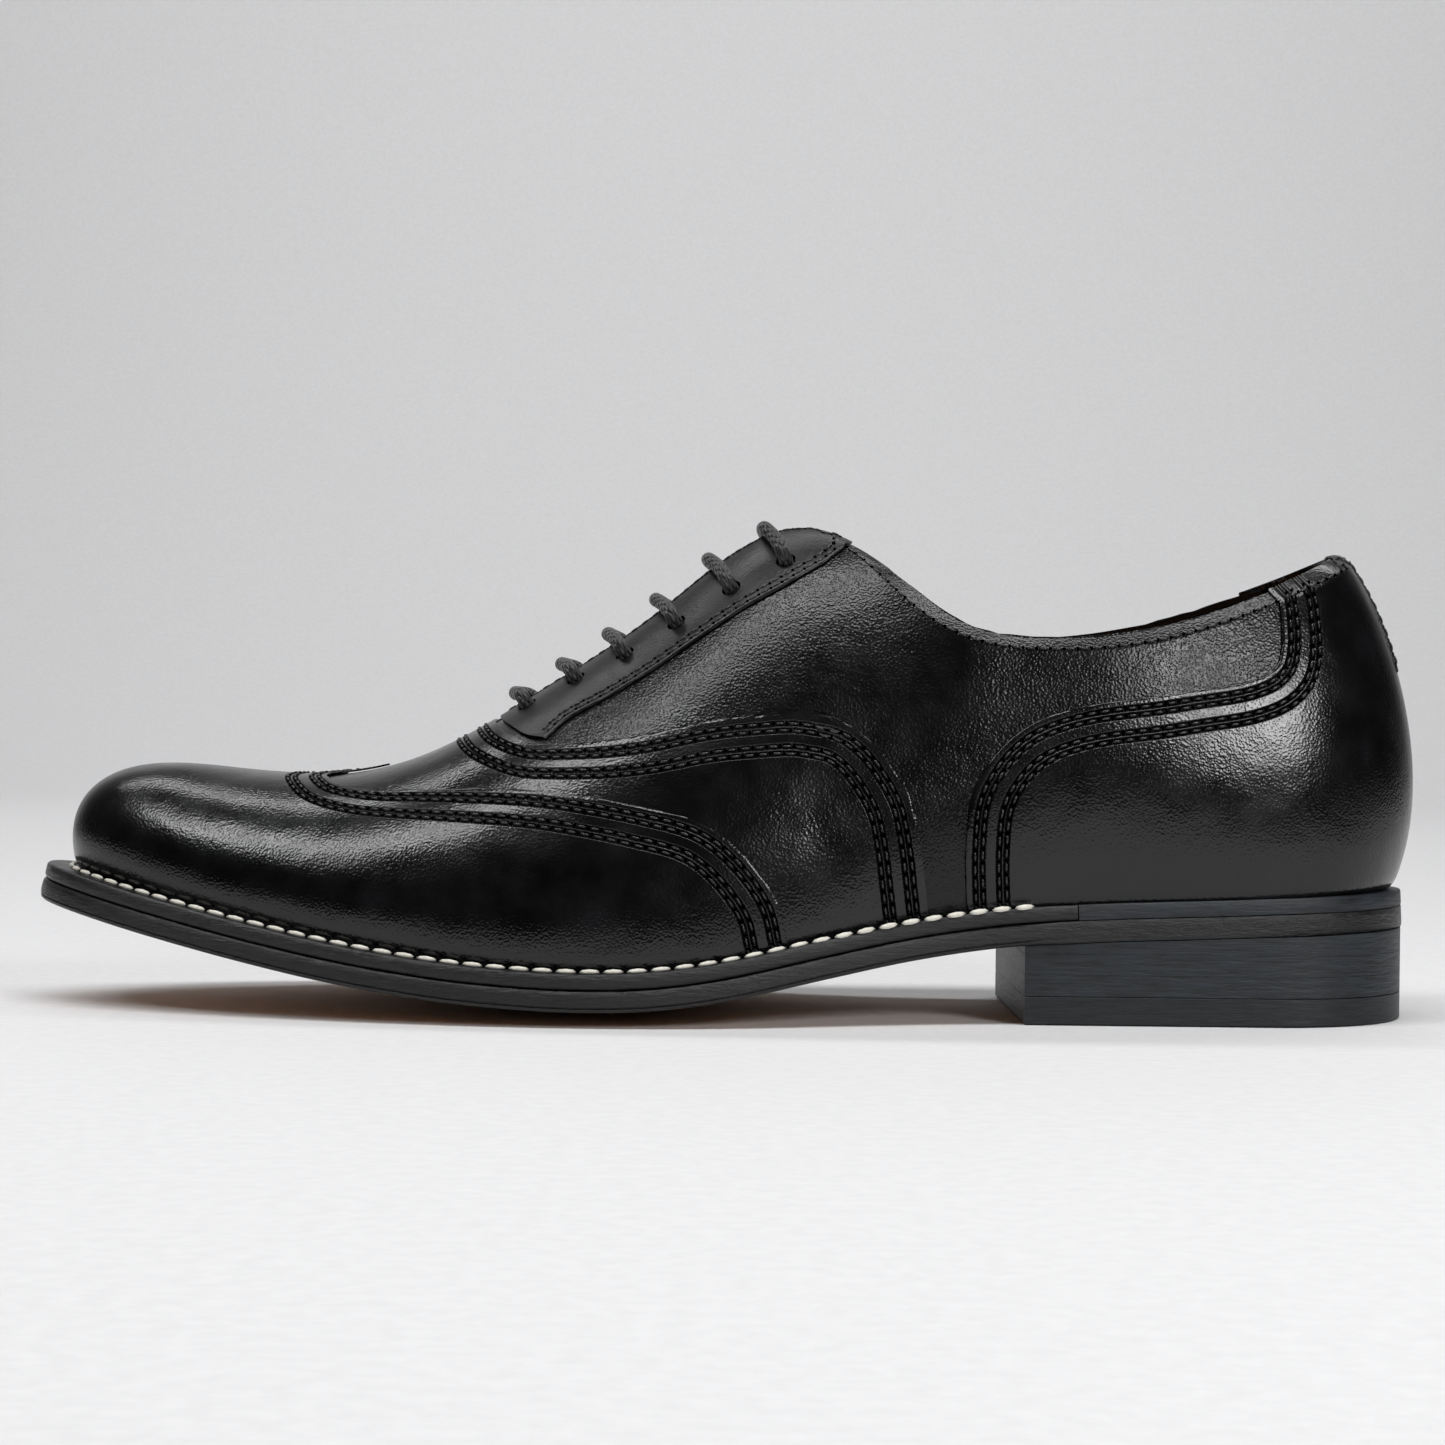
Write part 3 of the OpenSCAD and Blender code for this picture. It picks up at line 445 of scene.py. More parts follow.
# %% Sole, heel and lining finishes
def make_streaked(name, base, light, roughness, size, stretch, depth, **sockets):
    """Leather with fibres or tool marks along X: noise squeezed in Z."""
    material, tree, shader = new_finish(name, roughness, base, **sockets)
    where = add(tree, "ShaderNodeTexCoord").outputs["Object"]
    along = add(tree, "ShaderNodeMapping", {"Vector": where, "Scale": (1, 1, stretch)}).outputs[0]
    streak = add(tree, "ShaderNodeTexNoise", {"Vector": along, "Scale": per_mm(size), "Detail": 5.0,
                                              "Roughness": 0.65}).outputs["Fac"]
    tree.links.new(ramp(tree, streak, [(0.35, base), (0.7, light)]), shader.inputs["Base Color"])
    rough = add(tree, "ShaderNodeMapRange", {"Value": streak, "To Min": roughness - 0.12, "To Max": roughness + 0.12})
    tree.links.new(rough.outputs[0], shader.inputs["Roughness"])
    bumped(tree, shader, streak, depth)
    return material


# Inked, waxed and ironed edge: black, with a broken shine along the cut.
edge_ink = make_streaked("inked_sole_edge", "050506", "111114", 0.36, 4, 5, 0.0004)
# Brushed lifts: blue-black strokes lie level across the stack.
heel_ink = make_streaked("brushed_heel_leather", "040609", "202830", 0.46, 8, 9, 0.0003)
# Moulded rubber, buffed: its streaks are darker and shallower than those of the lifts.
top_rubber = make_streaked("heel_top_rubber", "050709", "171d23", 0.46, 7, 8, 0.0002)
# Vegetable tanned leather left natural: warm tan, matt.
tread = make_streaked("natural_tread_leather", "9a6b42", "b98a5c", 0.6, 8, 1, 0.00008)
# Undyed lining calf: soft tan with a faint cloud.
lining_calf = make_streaked("tan_lining_leather", "a67b52", "bd946a", 0.62, 4, 1, 0.00006)
# Insole shoulder leather: paler and rougher than the lining.
insole_calf = make_streaked("insole_leather", "a9825a", "c29d74", 0.7, 5, 1, 0.00006)
# Ground cork in glue: brown, matt and lumpy.
cork = make_streaked("ground_cork", "6d4a2c", "9a7048", 0.9, 1.6, 1, 0.0003)
# Glued canvas: off-white and dull.
canvas = make_streaked("glued_canvas", "bdb39a", "d5ccb5", 0.85, 0.8, 1, 0.0001)
# Blued steel spring: grey metal with rolled streaks.
steel = make_streaked("blued_steel", "4a4c50", "6d7075", 0.35, 3, 4, 0.00002, Metallic=1.0)
# Drawn brass pins: yellow metal.
brass = make_streaked("brass_nail", "a8853c", "c9a55a", 0.35, 2, 1, 0.00002, Metallic=1.0)
# Acetate film rolled round the lace: hard, glossy black.
aglet_plastic = make_streaked("acetate_tip", "0a0a0a", "151515", 0.2, 3, 4, 0.00001)
# Linen thread: chalky white, matt.
white_thread = make_streaked("white_linen_thread", "d8d4c6", "f2efe6", 0.7, 0.5, 1, 0.00006)
# Waxed polyester thread: black beads that glint.
black_thread = make_streaked("black_waxed_thread", "0c0c0d", "2a2a2d", 0.24, 0.5, 1, 0.00003)
# The shadow in a needle hole: nothing shines there.
painted_hole_shadow = make_streaked("needle_hole_shadow", "010101", "020202", 0.95, 0.5, 1, 0.00001,
                            **{"Specular IOR Level": 0.0})
print("sole, lining and thread finishes ready")

# %% [markdown]
# The lace is a round tube braided from waxed cotton. Its braid follows the lace, so the pattern
# reads the mesh's own map: one coordinate round the lace and one along it, and two families of
# slanting ribs cross each other in a checker of strands. The grooves between the strands are
# coloured darker: painted shade.

# %% Braided cotton
def make_braid(around=6, lay=2.4):
    """around strands each way, and the length in mm after which a strand repeats."""
    material, tree, shader = new_finish("braided_cotton", 0.42, "0b0b0c",
                                        **{"Sheen Weight": 0.2, "Sheen Roughness": 0.4})
    uv = add(tree, "ShaderNodeUVMap", uv_map="seam").outputs[0]
    part = add(tree, "ShaderNodeSeparateXYZ", {"Vector": uv})
    turn = add(tree, "ShaderNodeMath", {0: part.outputs[0], 1: math.pi * around / MM}, operation="MULTIPLY").outputs[0]
    run = add(tree, "ShaderNodeMath", {0: part.outputs[1], 1: math.pi / (lay * MM)}, operation="MULTIPLY").outputs[0]
    ribs = []
    for way in ("ADD", "SUBTRACT"):
        slant = add(tree, "ShaderNodeMath", {0: run, 1: turn}, operation=way).outputs[0]
        wave = add(tree, "ShaderNodeMath", {0: slant}, operation="SINE").outputs[0]
        ribs.append(add(tree, "ShaderNodeMath", {0: wave}, operation="ABSOLUTE").outputs[0])
    strand_relief_and_shade = add(tree, "ShaderNodeMath", {0: ribs[0], 1: ribs[1]}, operation="MULTIPLY").outputs[0]
    noise = add(tree, "ShaderNodeTexNoise", {"Vector": uv, "Scale": 900.0, "Detail": 4.0}).outputs["Fac"]
    # Darker where the strands dip: painted shade in the grooves of the braid.
    tree.links.new(ramp(tree, strand_relief_and_shade, [(0.0, "040405"), (0.6, "161618")]), shader.inputs["Base Color"])
    fuzz = add(tree, "ShaderNodeBump", {"Height": noise, "Distance": 0.00004, "Strength": 1.0}).outputs[0]
    bumped(tree, shader, strand_relief_and_shade, 0.00035, fuzz)
    return material


braid = make_braid()
print("braid finish:", braid.name)

# %% [markdown]
# Panels are the heart of the upper. Each one is a patch between four curves drawn on the last.
# A grid fills the patch, a second grid lies under it for the flesh side, and a rim closes the two.
# Extra rows crowd towards the cut edges, where the leather is rounded over by half a millimetre.

# %% Patches on the last
def smooth_line(points, f):
    """Point at part f of the way through given points."""
    p = np.asarray(points, float)
    e = np.concatenate([[2 * p[0] - p[1]], p, [2 * p[-1] - p[-2]]])
    n = len(p) - 1
    s = np.clip(np.asarray(f, float) * n, 0, n - 1e-9)
    i = np.floor(s).astype(int)
    k = (s - i)[..., None]
    a, b, c, d = e[i], e[i + 1], e[i + 2], e[i + 3]
    return 0.5 * (2 * b + (c - a) * k + (2 * a - 5 * b + 4 * c - d) * k ** 2 + (3 * b - a - 3 * c + d) * k ** 3)


def coons(A, B, S, T, a, b):
    """Four sided patch: A at a = 0, B at a = 1, S at b = 0 and T at b = 1."""
    A, B, S, T = (np.asarray(c, float) for c in (A, B, S, T))
    k, m = a[..., None], b[..., None]
    return ((1 - k) * smooth_line(A, b) + k * smooth_line(B, b) + (1 - m) * smooth_line(S, a) + m * smooth_line(T, a)
            - (1 - k) * (1 - m) * A[0] - k * (1 - m) * B[0] - (1 - k) * m * A[-1] - k * m * B[-1])


def steps(n, length, tight0, tight1):
    """0 to 1 in n steps, with a few close rows at each cut edge. length is in mm."""
    close = np.array([0.06, 0.16, 0.32, 0.6, 1.1]) / length
    s = np.linspace(0, 1, n + 1)
    keep = s[(s > (1.6 / length if tight0 else -1)) & (s < 1 - (1.6 / length if tight1 else -1))]
    parts = [[0.0], close if tight0 else [], keep, (1 - close)[::-1] if tight1 else [], [1.0]]
    return np.unique(np.round(np.concatenate([np.asarray(x, float) for x in parts]), 9))


def run_length(p, axis):
    d = np.linalg.norm(np.diff(p, axis=axis), axis=-1)
    zero = np.zeros_like(np.take(d, [0], axis))
    return np.cumsum(np.concatenate([zero, d], axis), axis)


def mesh_object(name, points, faces, maps=None, finish=None, smooth_angle=50, corners=None):
    """Mesh from points in mm, closed and facing out. The seam map is given per point or per corner, in mm."""
    data = bpy.data.meshes.new(name)
    data.from_pydata((np.asarray(points) * MM).tolist(), [], [tuple(int(i) for i in f) for f in faces])
    if maps is not None or corners is not None:
        loop_vertex = np.zeros(len(data.loops), int)
        data.loops.foreach_get("vertex_index", loop_vertex)
        values = np.asarray(corners) if corners is not None else np.asarray(maps)[loop_vertex]
        data.uv_layers.new(name="seam").data.foreach_set("uv", (values * MM).ravel())
    obj = bpy.data.objects.new(name, data)
    bpy.context.collection.objects.link(obj)
    bm = bmesh.new()
    bm.from_mesh(data)
    bmesh.ops.delete(bm, geom=[v for v in bm.verts if not v.link_faces], context="VERTS")
    bmesh.ops.recalc_face_normals(bm, faces=bm.faces)
    if bm.calc_volume(signed=True) < 0:
        bmesh.ops.reverse_faces(bm, faces=bm.faces)
    bm.to_mesh(data)
    bm.free()
    data.shade_smooth()
    data.set_sharp_from_angle(angle=math.radians(smooth_angle))
    if finish:
        data.materials.append(finish)
    return obj


def shell(name, inner, outer, finish, maps=None, fold=False, **more):
    """Closed solid between two grids of points. With fold, the last row is folded on itself at the toe."""
    na, nc = inner.shape[0] - 1, inner.shape[1] - 1
    m = (na + 1) * (nc + 1)
    idx = np.arange(m).reshape(na + 1, nc + 1)
    if fold:
        c = np.arange(nc + 1)
        idx[na] = idx[na][np.minimum(c, nc - c)]
    top = idx + m

    def quads(g):
        return np.stack([g[:-1, :-1], g[1:, :-1], g[1:, 1:], g[:-1, 1:]], -1).reshape(-1, 4)

    def rim(a, b):
        return np.stack([a[:-1], a[1:], b[1:], b[:-1]], -1)
    parts = [quads(top), quads(idx)[:, ::-1], rim(idx[:, 0], top[:, 0]), rim(top[:, nc], idx[:, nc]),
             rim(top[0], idx[0])]
    if not fold:
        parts.append(rim(idx[na], top[na]))
    flat = np.concatenate([inner.reshape(-1, 3), outer.reshape(-1, 3)])
    if maps is not None:
        maps = np.concatenate([maps.reshape(-1, 2)] * 2)
    return mesh_object(name, flat, np.concatenate(parts), maps, finish, **more)


# %% [markdown]
# A panel is cut on the last and its edges are rounded over by the distance to them, measured straight
# through space. The same distance places the rows of stitches, so they keep their spacing round curves.

# %% Panel builder
ROUND = 0.5


def gap(grid, edge):
    """Shortest distance from each point of a grid to a line, in mm."""
    s = run_length(edge, 0)
    f = np.linspace(0, s[-1], 260)
    line = np.stack([np.interp(f, s, edge[:, k]) for k in range(3)], -1)
    flat = grid.reshape(-1, 3)
    squares = (flat ** 2).sum(1)[:, None] + (line ** 2).sum(1) - 2 * flat @ line.T
    return np.sqrt(np.maximum(squares.min(1), 0)).reshape(grid.shape[:2])


def leather(name, t, w, under, outer_h, finish, cut="", seam="A", seam_shift=0.0, fold=False):
    """A sheet over a grid of ribs and girths, rounded over at its cut edges. A and B are its first and
    last rows, S and T its first and last columns."""
    base = on(t, w, outer_h)
    ra = run_length(base, 0)
    away = {"A": gap(base, base[0]), "B": gap(base, base[-1]),
            "S": gap(base, base[:, 0]), "T": gap(base, base[:, -1])}
    near = np.full(t.shape, 99.0)
    for e in cut:
        near = np.minimum(near, away[e])
    d = np.clip(near, 0, ROUND)
    h = outer_h - (ROUND - np.sqrt(np.maximum(ROUND ** 2 - (ROUND - d) ** 2, 0)))
    h = np.maximum(h, under + 0.12)
    first = base[0 if seam == "A" else -1]
    along = np.repeat(run_length(first, 0)[None], len(t), 0) if seam in "AB" else ra
    maps = np.stack([along, away[seam] - seam_shift], -1)
    obj = shell(name, on(t, w, under), on(t, w, h), finish, maps, fold)
    return {"object": obj, "t": t, "w": w, "away": away, "h": outer_h, "cut": cut}


def panel(name, A, B, S, T, inner_h, outer_h, finish, side=0, fold=False, cut="", na=60, nb=60,
          seam="A", seam_shift=0.0, lap=None):
    """One panel of leather. side is -1, 1 or 0 for a panel that crosses the ridge. cut names its cut edges.
    lap is (edge, part, height): near that edge the flesh side rises over the panel below."""
    a, b = np.meshgrid(np.linspace(0, 1, 13), np.linspace(0, 1, 13), indexing="ij")
    q = coons(A, B, S, T, a, b)
    coarse = on(q[..., 0], (side or -1) * np.maximum(q[..., 1], 1e-5), outer_h)
    la, lb = float(run_length(coarse, 0)[-1].mean()), float(run_length(coarse, 1)[:, -1].mean())
    sb = steps(nb, lb, "S" in cut, "T" in cut)
    a, b = np.meshgrid(steps(na, la, "A" in cut, "B" in cut), sb, indexing="ij")
    q = coons(A, B, S, T, a, b)
    t, u = q[..., 0], np.maximum(q[..., 1], 1e-5)
    w = (side or -1) * u
    if side == 0:
        t, a = (np.concatenate([x, x[:, -2::-1]], 1) for x in (t, a))
        w = np.concatenate([w, u[:, -2::-1]], 1)
        w[:, len(sb) - 1] = -1e-6
    under = np.full(t.shape, float(inner_h))
    if lap:
        edge, part, rise = lap
        under += (rise - inner_h) * (1 - ease(((a if edge == "A" else 1 - a) - part) / 0.03))
    return leather(name, t, w, under, outer_h, finish, cut, seam, seam_shift, fold)


def seam_row(p, edge, distance, stops=None, margin=2.7):
    """Points and upward directions of a line on a panel, at a distance from one of its edges.
    The line stops short of the other edges in stops, which are the panel's cut edges if none are given."""
    own = "AB" if edge in "AB" else "ST"
    grids = [p["away"][edge], p["t"], p["w"]] + [p["away"][e] for e in stops or p["cut"] if e not in own]
    if edge in "ST":
        grids = [g.T for g in grids]
    if edge in "BT":
        grids = [g[::-1] for g in grids]
    d = grids[0]
    found = []
    for j in range(d.shape[1]):
        k = int(np.argmax(d[:, j] > distance))
        if k:
            f = (distance - d[k - 1, j]) / (d[k, j] - d[k - 1, j])
            q = [g[k - 1, j] * (1 - f) + g[k, j] * f for g in grids[1:]]
            if all(v > margin for v in q[2:]):
                found.append(q[:2])
    t, w = np.array(found).T
    return on(t, w, p["h"] + 0.02), normal(t, w)


def straight(a, b):
    a, b = np.array(a, float), np.array(b, float)
    return [a, (a + b) / 2, b]


def rib_line(t):
    return [[t, 1], [t, 0.5], [t, 0]]


def shifted(points, d):
    return [[t + d * (1 - 0.4 * u), u] for t, u in points]


seam_rows = []
pieces = {}
print("cut edges are rounded over by", ROUND, "mm")

# %% [markdown]
# The panel edges are the pattern cutter's lines. They are the same numbers as in the CAD model,
# written as rib and girth, so that each panel covers its CAD solid.

# %% Pattern lines
QUARTER_H, VAMP_H, CAP_H, FLESH_H = 2.6, 3.4, 4.1, 1.75
WING = [[6.85, 1], [6.95, 0.89], [7.2, 0.79], [7.6, 0.69], [8.1, 0.61], [8.7, 0.53], [9.3, 0.46],
    [9.9, 0.39], [10.4, 0.335], [10.75, 0.27], [10.95, 0.18], [11.05, 0.1], [10.9, 0.045], [10.5, 0]]
VAMP_EDGE = [[5.65, 1], [5.72, 0.87], [5.8, 0.74], [5.95, 0.6], [6.2, 0.52], [6.5, 0.495], [6.9, 0.51],
    [7.3, 0.508], [7.8, 0.472], [8.3, 0.43], [8.75, 0.38], [9.02, 0.335], [9.25, 0.24], [9.38, 0.12], [9.45, 0]]
COUNTER_EDGE = [[5.32, 1], [5.38, 0.76], [5.37, 0.56], [5.15, 0.4], [4.75, 0.28], [4.2, 0.21], [3.5, 0.21],
    [2.85, 0.24], [2.5, 0.225], [2.38, 0.15], [2.35, 0]]
FACING_SEAM = [[8.9, 0.34], [8.72, 0.3], [8.4, 0.29], [7.95, 0.28], [7.5, 0.27],
               [7.15, 0.24], [6.88, 0.16], [6.7, 0.05]]
LINING_JOIN = [[7.5, 1], [8, 0.6], [8.8, 0.3], [9.42, 0]]
THROAT_GAP = 0.035


def top_line(t):
    return THROAT_GAP * min(max(t - 7, 0), 1)


TOP = [[t, top_line(t)] for t in (9.42, 8.9, 8.4, 8, 7.5, 7)] + [[t, 0] for t in (6.5, 5.8, 5, 4, 3)]
print("pattern lines run over", len(WING) + len(VAMP_EDGE) + len(COUNTER_EDGE) + len(FACING_SEAM), "points")

# %% [markdown]
# The wing cap covers the toe and sweeps back along both sides. Its back edge makes the W that
# gives the wingtip its name. The vamp lies under it and over the quarters.

# %% Wing cap and vamp
A, B = WING, rib_line(14)
pieces["toe_cap"] = panel("wing_cap", A, B, straight(A[0], B[0]), straight(A[-1], B[-1]), FLESH_H, CAP_H, calf,
                          fold=True, cut="A", na=70, nb=90, lap=("A", 0.13, CAP_H - 0.45))
A, B = shifted(WING, 0.3), VAMP_EDGE
pieces["vamp"] = panel("vamp_leather", A, B, straight(A[0], B[0]), straight(A[-1], B[-1]), FLESH_H, VAMP_H, calf,
                       cut="B", na=40, nb=110, seam="B", seam_shift=0.5, lap=("B", 0.28, VAMP_H - 0.6))
for key, edge, shift in (("toe_cap", "A", 0.0), ("vamp", "B", 0.5)):
    for distance in SEAM_DISTANCES:
        seam_rows.append(seam_row(pieces[key], edge, distance + shift))
print("cap and vamp sewn with", len(seam_rows), "rows")

# %% [markdown]
# Quarters carry the lacing and close round the ankle, and the counters wrap the heel.
# The facings are narrow reinforcing strips on the quarters, where the eyelets sit.

# %% Quarters, counters and facings
for side, tag in ((-1, "lateral"), (1, "medial")):
    A = [[t, max(u, top_line(9.6))] for t, u in shifted(VAMP_EDGE, 0.3)]
    B = shifted(COUNTER_EDGE, -0.3)
    T = [A[-1]] + [p for p in TOP if 2.4 < p[0] < 9.5] + [B[-1]]
    pieces["quarter_" + tag] = panel("quarter_leather_" + tag, A, B, straight(A[0], B[0]), T,
                                     FLESH_H, QUARTER_H, grained,
                                     side=side, cut="T", na=90, nb=60, seam="T")
    seam_rows.append(seam_row(pieces["quarter_" + tag], "T", 2.4, "AB"))
    A, B = COUNTER_EDGE, [[0.0, 1], [0.0, 0.5], [0.0, 0.0]]
    pieces["counter_" + tag] = panel("counter_leather_" + tag, A, B, straight(A[0], B[0]), straight(A[-1], B[-1]),
                                     FLESH_H, VAMP_H, calf, side=side, cut="AT", na=60, nb=80,
                                     lap=("A", 0.2, VAMP_H - 0.6))
    for distance in SEAM_DISTANCES:
        seam_rows.append(seam_row(pieces["counter_" + tag], "A", distance))
    seam_rows.append(seam_row(pieces["counter_" + tag], "T", 2.4, "AB"))
    A = [[8.9, 0.34], [9.1, 0.28], [9.3, 0.15], [9.38, top_line(9.4)]]
    B = [[6.7, 0.05], [6.68, 0.03], [6.66, 0.001]]
    T = [[9.38, top_line(9.4)]] + [[t, top_line(t)] for t in (8.7, 8, 7.5)] + [[7, 0.002], [6.66, 0.001]]
    pieces["facing_" + tag] = panel("facing_leather_" + tag, A, B, FACING_SEAM, T, QUARTER_H + 0.2, VAMP_H, smooth_calf,
                                    side=side, cut="ST", na=90, nb=24, seam="S")
    for edge, distance in (("S", 1.0), ("S", 2.4), ("T", 1.4)):
        seam_rows.append(seam_row(pieces["facing_" + tag], edge, distance, "AB"))
print(sorted(pieces))

# %% [markdown]
# The back strap is a narrow strip over the heel seam. It starts at the topline and runs a third
# of the way down. Its sides follow two ribs, so it widens downwards, and its grid is ribs by girths.

# %% Back strap, linings and heel grip
def strip_grid(t_half, girth_low, girth_top, n, m):
    t, g = np.meshgrid(np.linspace(-t_half, t_half, n), np.linspace(girth_low, girth_top, m), indexing="ij")
    return np.abs(t), np.where(t < 0, -1, 1) * np.maximum(g, 1e-5)


def strap_steps(half, length):
    return (steps(8, length, True, True) * 2 - 1) * half


t, g = np.meshgrid(strap_steps(0.34, 9.0), 0.35 * (1 - steps(30, 32.0, True, True)), indexing="ij")
t[np.abs(t) < 1e-6] = 1e-6
strap = leather("back_strap_leather", np.abs(t), np.where(t < 0, -1, 1) * np.maximum(g, 1e-5),
                np.full(t.shape, VAMP_H - 0.1), VAMP_H + 0.36, calf, cut="ABST")
for edge in "AB":
    seam_rows.append(seam_row(strap, edge, 1.3))
pieces["back_strap"] = strap

LINING_T = 0.8
A, B = LINING_JOIN, rib_line(14)
pieces["vamp_lining"] = panel("vamp_lining_leather", A, B, straight(A[0], B[0]), straight(A[-1], B[-1]), 0, LINING_T,
                              lining_calf, fold=True, na=50, nb=40)
for side, tag in ((-1, "lateral"), (1, "medial")):
    A = [[p[0], max(p[1], top_line(9.6))] for p in shifted(LINING_JOIN, -0.03)]
    B = rib_line(0.02)
    T = [A[-1]] + [p for p in TOP if p[0] < 9.3] + [[2, 0], [1, 0], [0.02, 0]]
    pieces["quarter_lining_" + tag] = panel("quarter_lining_leather_" + tag, A, B, straight(A[0], B[0]), T, 0, LINING_T,
                                            lining_calf, side=side, cut="T", na=90, nb=44)


def dye_outside(p, finish):
    """Ink the flesh side of a lining and its edges along the lacing, which show between the facings."""
    data = p["object"].data
    n, m = p["t"].shape[0] - 1, p["t"].shape[1] - 1
    data.materials.append(finish)
    inked = np.zeros(len(data.polygons), int)
    inked[:n * m] = 1
    top_rim, first_rim = 2 * n * m + n, 2 * n * m + 2 * n
    inked[top_rim:first_rim] = p["t"][:-1, -1] > 6.6
    inked[first_rim:first_rim + m] = 1
    data.polygons.foreach_set("material_index", inked)


for key in ("vamp_lining", "quarter_lining_lateral", "quarter_lining_medial"):
    dye_outside(pieces[key], edge_ink)
t, w = strip_grid(1.6, 0.7, 0.06, 25, 21)
pieces["heel_grip"] = leather("heel_grip_suede", t, w, np.full(t.shape, -1.0), -0.3, lining_calf)
print("strap, linings and grip done")

# %% [markdown]
# The tongue keeps the laces off the foot. It hangs from the throat and lies under the facings,
# a little lower, so that the lace has room. Its lining follows it with a small gap.

# %% Tongue
TONGUE = [[9.52, 0.2], [9.3, 0.22], [9.05, 0.24], [8.8, 0.26], [8.4, 0.26], [8, 0.26], [7.6, 0.25], [7.3, 0.23],
    [7.1, 0.19], [6.98, 0.12]]
TONGUE_T = 1.2


def tongue_sheet(name, top, bottom, shrink, finish):
    k = np.linspace(-1, 1, 26)
    q = smooth_line(TONGUE, np.linspace(0, 1, 44))
    t = np.clip(q[:, 0], 6.98 + shrink * 6, 9.52 - shrink * 6)[:, None] * np.ones_like(k)
    w = (q[:, 1] - shrink)[:, None] * k
    sink = -4.95 + 4.4 * ease((t - 8.95) / 0.5) - 1.1 * ease((7.95 - t) / 0.4)
    soft = 0.25 * (1 - np.clip((1 - np.abs(k)) / 0.1, 0, 1)) ** 2
    return shell(name, on(t, w, sink + bottom + soft), on(t, w, sink + top - soft), finish,
                 np.stack([t * 10, w * 100], -1))


tongue_leather = tongue_sheet("tongue_leather", 0, -TONGUE_T, 0, grained)
tongue_lining = tongue_sheet("tongue_lining_leather", -TONGUE_T - 0.15, -TONGUE_T - 0.95, 0.006, lining_calf)
print("tongue", TONGUE_T, "mm thick")

# %% [markdown]
# The eyelets are blind: the flange is on the inside and only a punched hole shows in the facing.
# A boolean with twelve cylinders cuts the holes through the facings, quarters and linings.

# %% Punched holes
FACING_HOLE, UNDER_HOLE = 2.2, 2.75


def cylinders(name, centres, axes, radius, bottom, top, sides=32):
    bm = bmesh.new()
    for c, n in zip(centres, axes):
        turned = Vector((0, 0, 1)).rotation_difference(Vector(n)).to_matrix().to_4x4()
        place = Matrix.Translation((Vector(c) + Vector(n) * (bottom + top) / 2) * MM) @ turned
        bmesh.ops.create_cone(bm, cap_ends=True, segments=sides, radius1=radius * MM, radius2=radius * MM,
                              depth=(top - bottom) * MM, matrix=place)
    data = bpy.data.meshes.new(name)
    bm.to_mesh(data)
    bm.free()
    obj = bpy.data.objects.new(name, data)
    bpy.context.collection.objects.link(obj)
    return obj


def baked(obj):
    """The evaluated mesh of an object as a plain mesh, with its modifiers removed."""
    depsgraph = bpy.context.evaluated_depsgraph_get()
    data = bpy.data.meshes.new_from_object(obj.evaluated_get(depsgraph), preserve_all_data_layers=True,
                                             depsgraph=depsgraph)
    obj.modifiers.clear()
    old, obj.data = obj.data, data
    data.name = obj.name
    bpy.data.meshes.remove(old)
    return obj


def cut_with(obj, cutter):
    modifier = obj.modifiers.new("cut", "BOOLEAN")
    modifier.object, modifier.operation, modifier.solver = cutter, "DIFFERENCE", "EXACT"
    return baked(obj)


for side, tag in ((-1, "lateral"), (1, "medial")):
    spots = [hole(i, side) for i in range(6)]
    centres, axes = [p for p, n in spots], [n for p, n in spots]
    under = ["quarter_" + tag, "quarter_lining_" + tag, "vamp_lining"]
    for radius, keys in ((FACING_HOLE, ["facing_" + tag]), (UNDER_HOLE, under)):
        cutter = cylinders("punch", centres, axes, radius, -2, 5.5)
        for key in keys:
            cut_with(pieces[key]["object"], cutter)
        bpy.data.objects.remove(cutter)
print("holes punched at ribs", [e[0] for e in EYELETS])

# %% [markdown]
# A stitch is a short bead of thread lying in the leather between two needle holes. The guides are
# lines of points on the panels. One Geometry Nodes tree spaces the beads along them by the stitch
# length, turns each to its line and to the leather, and sets the thread's finish. A flat dark bead
# between two stitches is painted shadow: it stands for the shade inside the needle hole, and nothing
# shines on it. Both are a little coarser than real, so that they show.

# %% Stitching tree
def new_tree(name, sizes):
    tree = bpy.data.node_groups.new(name, "GeometryNodeTree")
    tree.interface.new_socket("Geometry", in_out="INPUT", socket_type="NodeSocketGeometry")
    for key, value in sizes.items():
        tree.interface.new_socket(key, in_out="INPUT", socket_type="NodeSocketFloat").default_value = value
    tree.interface.new_socket("Geometry", in_out="OUTPUT", socket_type="NodeSocketGeometry")
    return tree, tree.nodes.new("NodeGroupInput").outputs


